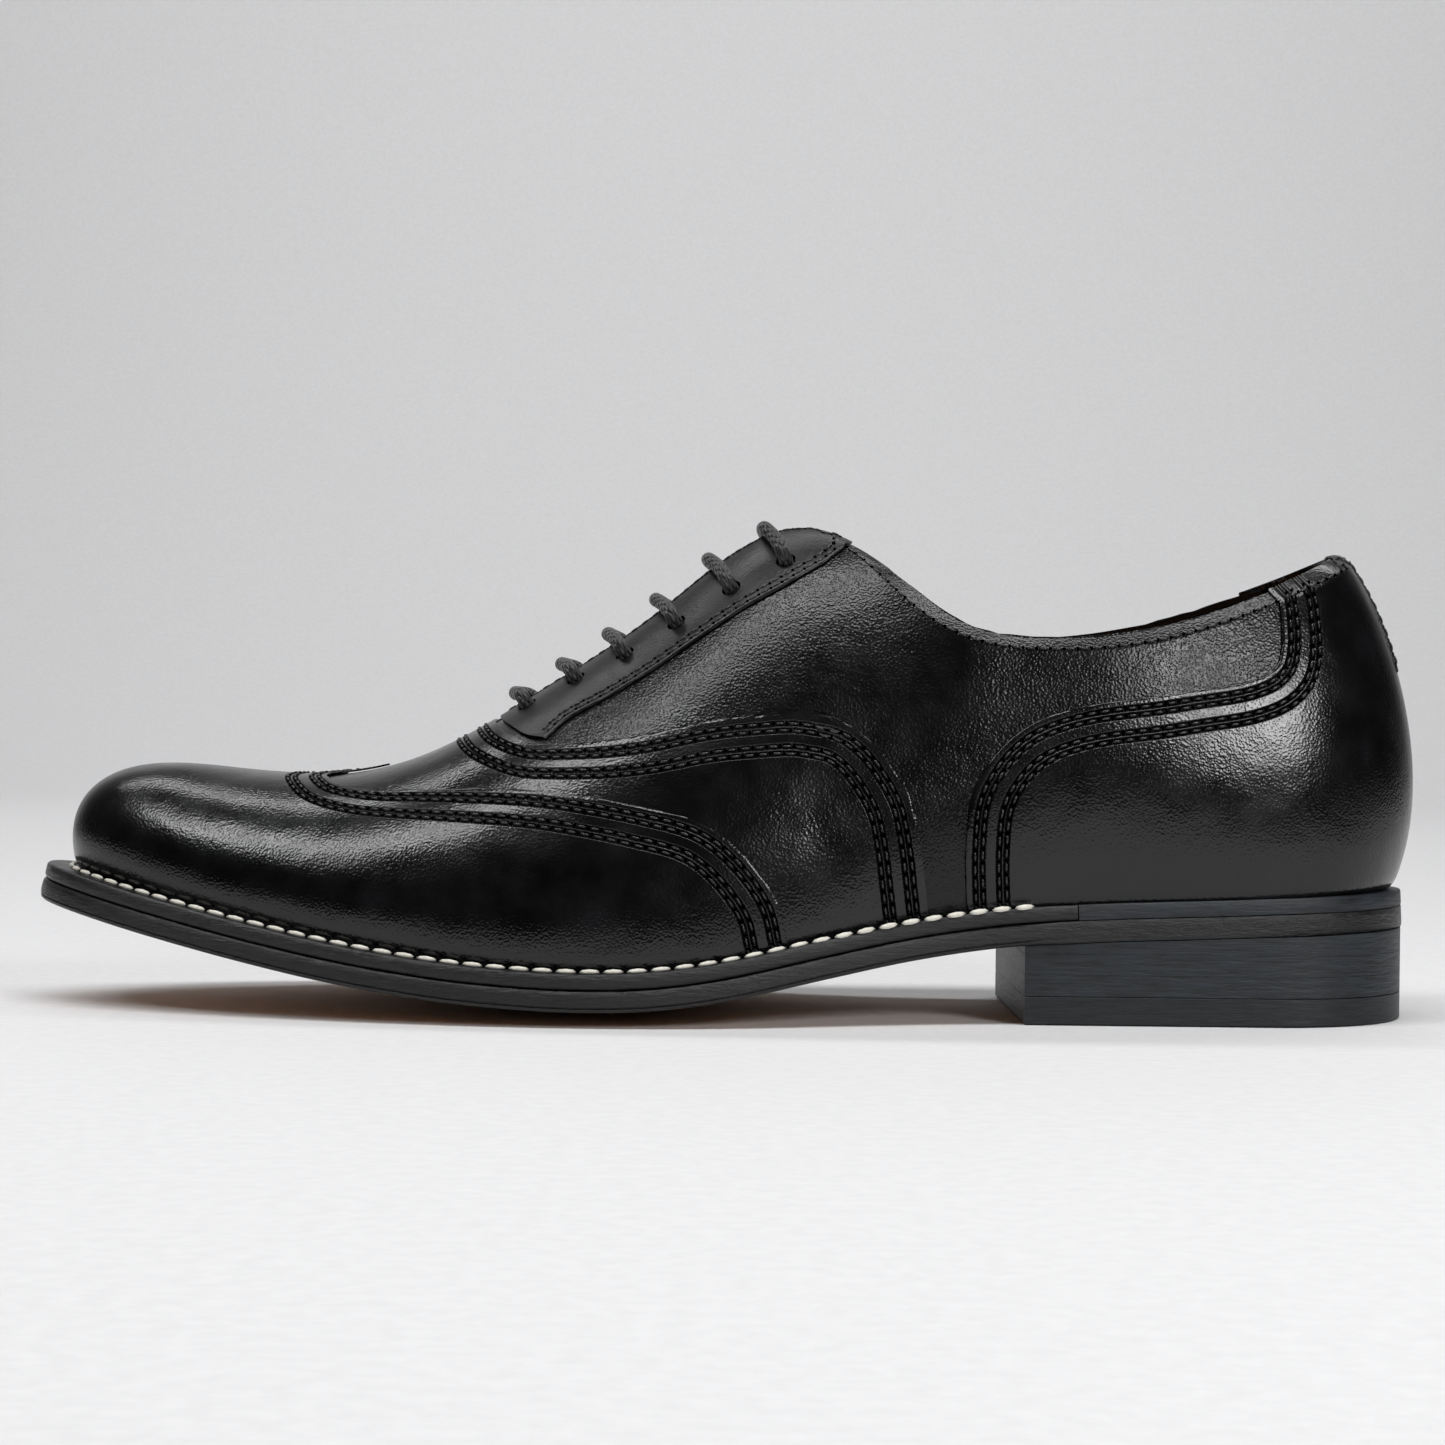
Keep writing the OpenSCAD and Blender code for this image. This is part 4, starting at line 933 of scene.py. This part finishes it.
def make_stitch_tree(thread):
    tree, given = new_tree("stitches along lines", {"Pitch": 0.0029, "Length": 0.0022, "Thickness": 0.0005,
                                                    "Slant": 0.0, "Hole": 0.0008})
    lines = add(tree, "GeometryNodeMeshToCurve", {"Mesh": given["Geometry"]}).outputs[0]
    spots = add(tree, "GeometryNodeResampleCurve", {"Curve": lines, "Length": given["Pitch"]}, mode="LENGTH").outputs[0]
    along = add(tree, "GeometryNodeInputTangent").outputs[0]
    up = add(tree, "GeometryNodeInputNamedAttribute", {"Name": "up"}, data_type="FLOAT_VECTOR").outputs[0]
    aside = add(tree, "ShaderNodeVectorMath", {0: up, 1: along}, operation="CROSS_PRODUCT").outputs[0]
    leaning = add(tree, "ShaderNodeVectorMath", {0: aside, "Scale": given["Slant"]}, operation="SCALE").outputs[0]
    way = add(tree, "ShaderNodeVectorMath", {0: along, 1: leaning}, operation="ADD").outputs[0]
    turned = add(tree, "FunctionNodeAxesToRotation", {0: way, 1: up}, primary_axis="X", secondary_axis="Z").outputs[0]
    ball = add(tree, "GeometryNodeMeshUVSphere", {"Segments": 6, "Rings": 4, "Radius": 0.5}).outputs[0]
    bead = add(tree, "ShaderNodeCombineXYZ", {0: given["Length"], 1: given["Thickness"],
                                              2: given["Thickness"]}).outputs[0]
    half = add(tree, "ShaderNodeMath", {0: given["Pitch"], 1: 0.5}, operation="MULTIPLY").outputs[0]
    step = add(tree, "ShaderNodeVectorMath", {0: along, "Scale": half}, operation="SCALE").outputs[0]
    between = add(tree, "GeometryNodeSetPosition", {"Geometry": spots, "Offset": step}).outputs[0]
    # The needle hole's bead is flat, matt and near black: painted shadow of the hole.
    flat = add(tree, "ShaderNodeMath", {0: given["Hole"], 1: 0.35}, operation="MULTIPLY").outputs[0]
    hole_shadow_size = add(tree, "ShaderNodeCombineXYZ", {0: given["Hole"], 1: given["Hole"], 2: flat}).outputs[0]
    both = add(tree, "GeometryNodeJoinGeometry")
    for places, size, finish in ((spots, bead, thread), (between, hole_shadow_size, painted_hole_shadow)):
        copies = add(tree, "GeometryNodeInstanceOnPoints", {"Points": places, "Instance": ball, "Rotation": turned,
                                                            "Scale": size}).outputs[0]
        dyed = add(tree, "GeometryNodeSetMaterial", {"Geometry": copies, "Material": finish}).outputs[0]
        tree.links.new(dyed, both.inputs[0])
    real = add(tree, "GeometryNodeRealizeInstances", {0: both.outputs[0]}).outputs[0]
    soft = add(tree, "GeometryNodeSetShadeSmooth", {"Geometry": real}).outputs[0]
    add(tree, "NodeGroupOutput", {"Geometry": soft})
    return tree


def used_finishes(obj):
    """Drop the empty material slots of a mesh. Returns each face's old slot and the finishes kept."""
    finishes = list(obj.data.materials)
    kept = [m for m in finishes if m]
    which = np.zeros(len(obj.data.polygons), int)
    obj.data.polygons.foreach_get("material_index", which)
    obj.data.materials.clear()
    for m in kept:
        obj.data.materials.append(m)
    obj.data.polygons.foreach_set("material_index", [kept.index(finishes[k]) for k in which])
    return which, kept


def sewn(name, rows, finish, **sizes):
    """Stitches, and flat dark beads painted as the shadow in the needle holes, along rows of (points, ups), as one
    plain mesh.
    """
    tree = make_stitch_tree(finish)
    points = np.concatenate([r[0] for r in rows])
    ups = np.concatenate([r[1] for r in rows])
    edges, start = [], 0
    for r in rows:
        edges += [(start + i, start + i + 1) for i in range(len(r[0]) - 1)]
        start += len(r[0])
    data = bpy.data.meshes.new(name)
    data.from_pydata((points * MM).tolist(), edges, [])
    data.attributes.new("up", "FLOAT_VECTOR", "POINT").data.foreach_set("vector", ups.astype(np.float32).ravel())
    obj = bpy.data.objects.new(name, data)
    bpy.context.collection.objects.link(obj)
    modifier = obj.modifiers.new("stitches", "NODES")
    modifier.node_group = tree
    keys = {item.name: item.identifier for item in tree.interface.items_tree if item.in_out == "INPUT"}
    for key, value in sizes.items():
        modifier[keys[key]] = value if key == "Slant" else value * MM
    baked(obj)
    which, kept = used_finishes(obj)
    print(name, "has", len(which) // 48, "stitches in", [m.name for m in kept])
    return obj


upper_stitching = sewn("upper_stitching", seam_rows, black_thread, Pitch=PITCH, Length=2.2, Thickness=0.62, Hole=0.85)

# %% [markdown]
# The welt is a strip of leather sewn round the edge of the upper, and the outsole is sewn to the welt
# with white linen thread. The stitches show on top of the welt, close to the upper.
# Sole parts are sections lofted from the heel to the toe, with an edge profile on both sides.

# %% Sole sections
def loft(name, rings, finish, second=None, second_columns=(), smooth_angle=40):
    """Closed solid through equal rings, each an array of points."""
    r = np.asarray(rings, float)
    n, c = r.shape[:2]
    idx = np.arange(n * c).reshape(n, c)
    nxt = np.roll(idx, -1, axis=1)
    faces = np.stack([idx[:-1], nxt[:-1], nxt[1:], idx[1:]], -1).reshape(-1, 4).tolist()
    faces += [idx[0][::-1].tolist(), idx[-1].tolist()]
    obj = mesh_object(name, r.reshape(-1, 3), faces, finish=finish, smooth_angle=smooth_angle)
    if second:
        obj.data.materials.append(second)
        for p in obj.data.polygons:
            if p.index < (n - 1) * c and p.index % c in second_columns:
                p.material_index = 1
    return obj


def section(t, inset, reach, profile, flat, columns=24):
    """Ring across the sole at rib t. profile is (out, depth) from the top edge to the bottom edge."""
    t = np.array(t)
    ends = {}
    for w in (-1.0, 1.0):
        wa = np.array(w)
        e = float(through(EDGE_K[0 if w < 0 else 1], t + 3)[..., 0]) * reach
        ends[w] = [plan(t, wa) + outward(t, wa) * (e - inset + out) for out, depth in profile]
    k = np.linspace(-1, 1, columns + 1)

    def across(i, depth):
        a, b = ends[-1.0][i], ends[1.0][i]
        p = a + (b - a) * (k[:, None] + 1) / 2
        drop = crown(p[:, 0]) * np.maximum(0, 1 - (k / flat) ** 2)
        return stack(p, depth, drop)
    bottom = across(-1, profile[-1][1])
    top = across(0, profile[0][1])[::-1]
    right = [stack(ends[1.0][i], profile[i][1]) for i in range(len(profile) - 2, 0, -1)]
    left = [stack(ends[-1.0][i], profile[i][1]) for i in range(1, len(profile) - 1)]
    return np.concatenate([bottom, right, top, left]) if len(profile) > 2 else np.concatenate([bottom, top])


def spread(t0, t1, n):
    return t0 + (t1 - t0) * (0.5 - 0.5 * np.cos(np.pi * np.arange(n + 1) / n))


OUTSOLE_EDGE = [(-0.6, 3.6), (-0.15, 3.75), (0.1, 4.1), (0.2, 5.0), (0.22, 6.2), (0.12, 7.0), (-0.18, 7.12),
    (-0.2, 7.24), (0.0, 7.4), (-0.1, 7.8), (-0.5, 8.1), (-1.2, 8.2)]
SEAT_EDGE = [(-0.3, 3.55), (0.0, 3.58), (0.12, 3.75), (0.15, 5.0), (0.16, 6.2), (0.16, 7.0), (0.15, 7.2), (0.15, 7.4),
    (0.14, 7.6), (0.12, 7.9), (0.05, 8.12), (-0.4, 8.2)]
rings = []
for t in spread(0.002, 13.998, 150):
    f = float(ease((4.9 - t) / 0.5))
    profile = [tuple(np.array(a) * (1 - f) + np.array(b) * f) for a, b in zip(OUTSOLE_EDGE, SEAT_EDGE)]
    rings.append(section(t, 0, 1, profile, 0.83))
outsole = loft("outsole_leather", rings, edge_ink, tread, range(0, 24))
rings = [section(t, 1.5, 0, [(0, -0.3), (0, 2.0)], 1.0) for t in spread(0.15, 13.85, 60)]
insole = loft("insole_board", rings, insole_calf)
rings = [section(t, 2.1, 0, [(0, -1.3), (0, -0.45)], 1.0) for t in spread(0.2, 5.2, 30)]
sock = loft("heel_sock", rings, lining_calf)
print("outsole, insole and sock:", [len(o.data.polygons) for o in (outsole, insole, sock)], "faces")


# %% [markdown]
# Welt and rand are one ring of section each, carried along the feather line. The rand is trimmed flush
# with the heel, so its edge is flatter than the welt's.

# %% Welt, rand and welt stitches
def loop(t0, end, n):
    f = np.abs(np.arange(-n, n + 1)) / n
    return end + (t0 - end) * (f ** 1.25 if end == 14 else f), np.where(np.arange(-n, n + 1) < 0, -1.0, 1.0)


def edge_at(t, w):
    return sided(EDGE_K, t, w)[..., 0]


def strip(name, t0, end, n, profile, finish):
    """profile is (share of the edge, out, depth): a ring carried along the feather line."""
    t, w = loop(t0, end, n)
    p, o, e = plan(t, w), outward(t, w), edge_at(t, w)
    ring = [stack(p + o * (share * e + out)[:, None], np.full(t.shape, depth)) for share, out, depth in profile]
    return loft(name, np.stack(ring, 1), finish)


WELT_EDGE = [(0, -0.6, 0.0), (0.4, 0, 0.02), (1, -1.0, 0.05), (1, -0.3, 0.18), (1, 0.05, 0.55), (1, 0.12, 1.6),
    (1, 0.1, 2.7), (1, -0.15, 3.2), (1, -0.6, 3.5), (0, -0.6, 3.5)]
welt = strip("welt_leather", 4.39, 14, 110, WELT_EDGE, edge_ink)
RAND_EDGE = [(0, -0.6, 0.0), (0.4, 0, 0.02), (1, -0.5, 0.05), (1, -0.1, 0.15), (1, 0.08, 0.4), (1, 0.14, 1.6),
    (1, 0.15, 2.9), (1, 0.12, 3.3), (1, -0.1, 3.5), (0, -0.6, 3.5)]
rand = strip("heel_rand_leather", 4.38, 0, 60, RAND_EDGE, heel_ink)
t, w = loop(4.85, 14, 160)
p, o = plan(t, w), outward(t, w)
welt_thread = sewn("welt_thread", [(stack(p + o * 5.7, np.full(t.shape, -0.12)), np.tile([0.0, 0, 1], (len(t), 1)))],
                   white_thread, Pitch=4.9, Length=4.3, Thickness=1.2, Slant=0.12, Hole=0.9)

# %% [markdown]
# The heel is a stack of leather lifts with a rubber top piece, trimmed, inked and brushed together.
# Each layer is the heel's outline raised, with its corners eased so that the joints show as fine lines.

# %% Heel
HEEL_BREAST, HEEL_HALF, HEEL_R = 63.5, 33.5, 34.0
HEEL_CENTRE = (151.3 - HEEL_R + SHIFT[0], 0.3 + SHIFT[1])
NAIL_RING = 26


def heel_outline(count=260):
    """Convex outline round a circle at the back and straight sides to the breast, evenly spaced."""
    a = np.linspace(0, 2 * np.pi, 241)[:-1]
    cx, cy = HEEL_CENTRE
    cloud = [(cx + HEEL_R * math.cos(v), cy + HEEL_R * math.sin(v)) for v in a]
    y0 = -HEEL_HALF - 0.8 + SHIFT[1]
    cloud += [(HEEL_BREAST - 10, y0), (HEEL_BREAST - 10, y0 + 2 * HEEL_HALF - 2)]
    cloud.sort()
    hull = []
    for points in (cloud, cloud[::-1]):
        part = []
        for q in points:
            while len(part) > 1 and ((part[-1][0] - part[-2][0]) * (q[1] - part[-2][1])
                                     - (part[-1][1] - part[-2][1]) * (q[0] - part[-2][0])) <= 0:
                part.pop()
            part.append(q)
        hull += part[:-1]
    ring = []
    for q, r in zip(hull, hull[1:] + hull[:1]):
        if q[0] >= HEEL_BREAST:
            ring.append(q)
        if (q[0] - HEEL_BREAST) * (r[0] - HEEL_BREAST) < 0:
            f = (HEEL_BREAST - q[0]) / (r[0] - q[0])
            ring.append((HEEL_BREAST, q[1] + f * (r[1] - q[1])))
    ring = np.array(ring + ring[:1])
    s = run_length(ring, 0)
    even = np.linspace(0, s[-1], count + 1)[:-1]
    even = np.unique(np.concatenate([even, s[:-1]]))
    even = even[np.concatenate([[True], np.diff(even) > 0.2])]
    return np.stack([np.interp(even, s, ring[:, 0]), np.interp(even, s, ring[:, 1])], -1)


OUTLINE = heel_outline()
side_way = unit(np.roll(OUTLINE, -1, 0) - np.roll(OUTLINE, 1, 0))
INWARD = np.stack([-side_way[:, 1], side_way[:, 0]], -1)


def lift(name, bottom, top, ease_in, finish):
    """One layer of the heel between two heights, each a number or one value per outline point."""
    rings = []
    for inset, z in ((ease_in, bottom), (0, bottom + ease_in), (0, top - ease_in), (ease_in, top)):
        xy = OUTLINE + INWARD * inset
        rings.append(np.concatenate([xy, np.broadcast_to(z, len(xy))[:, None]], 1))
    return loft(name, rings, finish)


nail_spots = [(HEEL_CENTRE[0] + NAIL_RING * math.cos(a), HEEL_CENTRE[1] + NAIL_RING * math.sin(a), 0)
              for a in np.radians(np.arange(13) * 17.5 - 105)]
nail_spots += [(HEEL_BREAST + 8, -22 + i * 11, 0) for i in range(5)]
heel_top = sole_z(OUTLINE[:, 0] - SHIFT[0]) - 0.12
lifts = {"top_piece": lift("top_piece_rubber", 0.0, 6.0, 0.25, top_rubber),
         "heel_lift_3": lift("heel_lift_lower", 6.01, 10.49, 0.05, heel_ink),
         "heel_lift_2": lift("heel_lift_middle", 10.5, 14.99, 0.05, heel_ink),
         "heel_lift_1": lift("heel_lift_upper", 15.0, heel_top, 0.05, heel_ink)}
cutter = cylinders("nail_drill", nail_spots, [(0, 0, 1)] * len(nail_spots), 0.95, -1, 3, 16)
cut_with(lifts["top_piece"], cutter)
bpy.data.objects.remove(cutter)
print("heel stack", len(OUTLINE), "points round")

# %% [markdown]
# The lace is one length: it crosses over the facings at each pair of holes and runs under them
# from one crossing to the next. The tube follows the same points as the CAD lace, rounded by a spline.

# %% Lace
UNDER, OVER = -0.9 - LACE_D / 2 - 0.38, VAMP_H + LACE_D / 2 + 0.55


def through_hole(i, side, up):
    p, n = hole(i, side)
    points = [p + n * z for z in (-1.8, 1.4, 4.8)]
    return points if up > 0 else points[::-1]


def bar(i, side):
    t, g = EYELETS[i]
    return [on(t + 0.12 * (1 - abs(k)), side * k * g, OVER + 0.4 * (1 - abs(k)))
            for k in (0.88, 0.6, 0.25, -0.25, -0.6, -0.88)]


def hidden_run(i, j, side, aside):
    a, b = np.array(EYELETS[i]), np.array(EYELETS[j])
    m = 1 if abs(j - i) > 1 else 0
    out = []
    for k in (0.14, 0.5, 0.86):
        q = a + (b - a) * k
        out.append(on(q[0], side * (q[1] + aside * m * (1 if k == 0.5 else 0.55)), UNDER))
    return out


lace_a = (through_hole(0, -1, -1) + hidden_run(0, 1, -1, 0) + through_hole(1, -1, 1) + bar(1, -1)
          + through_hole(1, 1, -1)
          + hidden_run(1, 3, 1, -0.04) + through_hole(3, 1, 1) + bar(3, 1) + through_hole(3, -1, -1)
          + hidden_run(3, 5, -1, -0.04) + through_hole(5, -1, 1) + bar(5, -1) + through_hole(5, 1, -1))
lace_b = (through_hole(0, 1, -1) + hidden_run(0, 2, 1, 0.045) + through_hole(2, 1, 1) + bar(2, 1)
          + through_hole(2, -1, -1)
          + hidden_run(2, 4, -1, 0.045) + through_hole(4, -1, 1) + bar(4, -1) + through_hole(4, 1, -1))
lace_route = np.array(lace_b[::-1] + bar(0, 1) + lace_a)


def tube(name, route, radius, finish, sides=14, step=0.55):
    fine = smooth_line(route, np.linspace(0, 1, (len(route) - 1) * 14 + 1))
    s = run_length(fine, 0)
    even = np.linspace(0, s[-1], int(s[-1] / step) + 1)
    p = np.stack([np.interp(even, s, fine[:, i]) for i in range(3)], -1)
    d = unit(np.gradient(p, axis=0))
    n = unit(np.cross(d[0], [0, 0, 1.0] if abs(d[0][2]) < 0.8 else [1.0, 0, 0]))
    rings, a = [], np.arange(sides) * 2 * np.pi / sides
    for i in range(len(p)):
        n = unit(n - d[i] * (n @ d[i]))
        b = np.cross(d[i], n)
        rings.append(p[i] + radius * (np.cos(a)[:, None] * n + np.sin(a)[:, None] * b))
    idx = np.arange(len(p) * sides).reshape(len(p), sides)
    nxt = np.roll(idx, -1, 1)
    faces = np.stack([idx[:-1], nxt[:-1], nxt[1:], idx[1:]], -1).reshape(-1, 4)
    j, i = np.meshgrid(np.arange(sides), np.arange(len(p) - 1))
    corners = np.stack([np.stack([(j + dj) / sides, even[i + di]], -1)
                        for dj, di in ((0, 0), (1, 0), (1, 1), (0, 1))], 2)
    caps = np.zeros((2 * sides, 2))
    ends = [idx[0][::-1].tolist(), idx[-1].tolist()]
    return mesh_object(name, np.concatenate(rings), faces.tolist() + ends, finish=finish,
                       corners=np.concatenate([corners.reshape(-1, 2), caps]), smooth_angle=60)


lace = tube("lace_cotton", lace_route, LACE_D / 2, braid)
for name, obj in tails.items():
    obj.data.materials.append(black_thread)
print("lace", round(float(run_length(lace_route, 0)[-1])), "mm between the facings")

# %% [markdown]
# Every new piece rides on its CAD body and stands for its CAD nodes, which are hidden.
# The CAD nodes that are right as they are keep their mesh and only get a finish.

# %% Hand over to the frame
SLOTS = {"calf_gloss": ["toe_cap", "vamp", "counter_lateral", "counter_medial"],
         "calf_grain": ["quarter_lateral", "quarter_medial", "facing_lateral", "facing_medial", "back_strap"],
         "lining_tan": ["vamp_lining", "quarter_lining_lateral", "quarter_lining_medial", "heel_grip"]}


def place(obj, body, slot, *stands_for):
    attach(obj, body)
    if stands_for:
        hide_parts(*stands_for)


for slot, keys in SLOTS.items():
    for key in keys:
        place(pieces[key]["object"], "shoe", slot, key)
place(tongue_leather, "tongue", "calf_grain", "tongue")
place(tongue_lining, "tongue", "lining_tan", "tongue_lining")
place(outsole, "shoe", "sole_edge", "outsole")
place(welt, "shoe", "sole_edge", "welt")
place(rand, "shoe", "sole_edge", "heel_rand")
place(insole, "shoe", "insole_leather", "insole")
place(sock, "shoe", "lining_tan", "sock_lining")
place(welt_thread, "shoe", "thread_white", "welt_stitching")
place(upper_stitching, "shoe", "calf_gloss")
place(lace, "shoe", "lace_black", "lace")
for key, obj in lifts.items():
    place(obj, "shoe", "top_piece" if key == "top_piece" else "heel_stack", key)
for name, tip in (("lace_end_long", "long"), ("lace_end_short", "short")):
    obj = tails[name]
    place(obj, "shoe", "lace_black", "lace_tail_" + tip)
    start = obj.data.splines[0].points[0].co
    tuple(start[:3])
for finish, names in ((cork, ["cork_filler"]), (steel, ["shank", "eyelets_lateral", "eyelets_medial"]),
                      (canvas, ["insole_rib", "toe_puff", "counter_stiffener"]), (brass, ["heel_nails"]),
                      (aglet_plastic, ["aglet_long", "aglet_short"])):
    for name in names:
        data = nodes[name].data
        data.materials.clear()
        data.materials.append(finish)

# %% [markdown]
# Black leather shows only what it mirrors. A pale floor lightens the lower walls, a broad soft box
# overhead draws the long highlights on the ridge, and the room behind the camera stays dim.

# %% Floor and light
def make_floor(half_width=6.0, front=-4.0, back=1.6, bend=0.9):
    """Studio paper that lies flat under the shoe and sweeps up behind it."""
    material, tree, shader = new_finish("studio_paper", 0.75, "dcdcdc")
    where = add(tree, "ShaderNodeTexCoord").outputs["Object"]
    fibre = add(tree, "ShaderNodeTexNoise", {"Vector": where, "Scale": 300.0, "Detail": 3.0}).outputs["Fac"]
    tree.links.new(ramp(tree, fibre, [(0.3, "d8d8d9"), (0.7, "dededf")]), shader.inputs["Base Color"])
    sweep = [(back + bend * math.sin(a), bend - bend * math.cos(a)) for a in np.linspace(0.1, 1.5, 14)]
    profile = [(front, 0.0), (back, 0.0)] + sweep + [(2.55, 5.0)]
    points = [(x, y, z - 0.0002) for y, z in profile for x in (-half_width, half_width)]
    faces = [(2 * i, 2 * i + 1, 2 * i + 3, 2 * i + 2) for i in range(len(profile) - 1)]
    data = bpy.data.meshes.new("studio_floor")
    data.from_pydata(points, [], faces)
    data.shade_smooth()
    data.materials.append(material)
    obj = bpy.data.objects.new("studio_floor", data)
    bpy.context.collection.objects.link(obj)
    return obj


def softbox(name, place_at, look_at, size, watts):
    """A rectangular lamp that faces a point. size is its width and height in metres."""
    data = bpy.data.lights.new(name, "AREA")
    data.shape, data.size, data.size_y, data.energy = "RECTANGLE", size[0], size[1], watts
    obj = bpy.data.objects.new(name, data)
    aim = (Vector(place_at) - Vector(look_at)).to_track_quat("Z", "Y").to_matrix().to_4x4()
    obj.matrix_world = Matrix.Translation(place_at) @ aim
    bpy.context.collection.objects.link(obj)
    return obj


make_floor()
softbox("overhead", (0.0, -0.34, 1.25), (0, -0.1, 0), (1.5, 0.26), 13)
softbox("toe_side", (-0.75, -0.35, 0.95), (-0.1, 0, 0.05), (0.3, 0.22), 2.2)
softbox("heel_side", (0.62, -0.85, 0.52), (0.14, 0, 0.06), (0.34, 0.26), 4.6)
softbox("backdrop", (0.0, 0.9, 1.9), (0, 2.1, 0.25), (3.0, 0.5), 36)
world = bpy.data.worlds.new("room")
world.use_nodes = True
room = world.node_tree.nodes["Background"]
room.inputs["Color"].default_value = colour("b4b6ba")
room.inputs["Strength"].default_value = 0.06
bpy.context.scene.world = world
bpy.context.scene.view_settings.view_transform = "Standard"
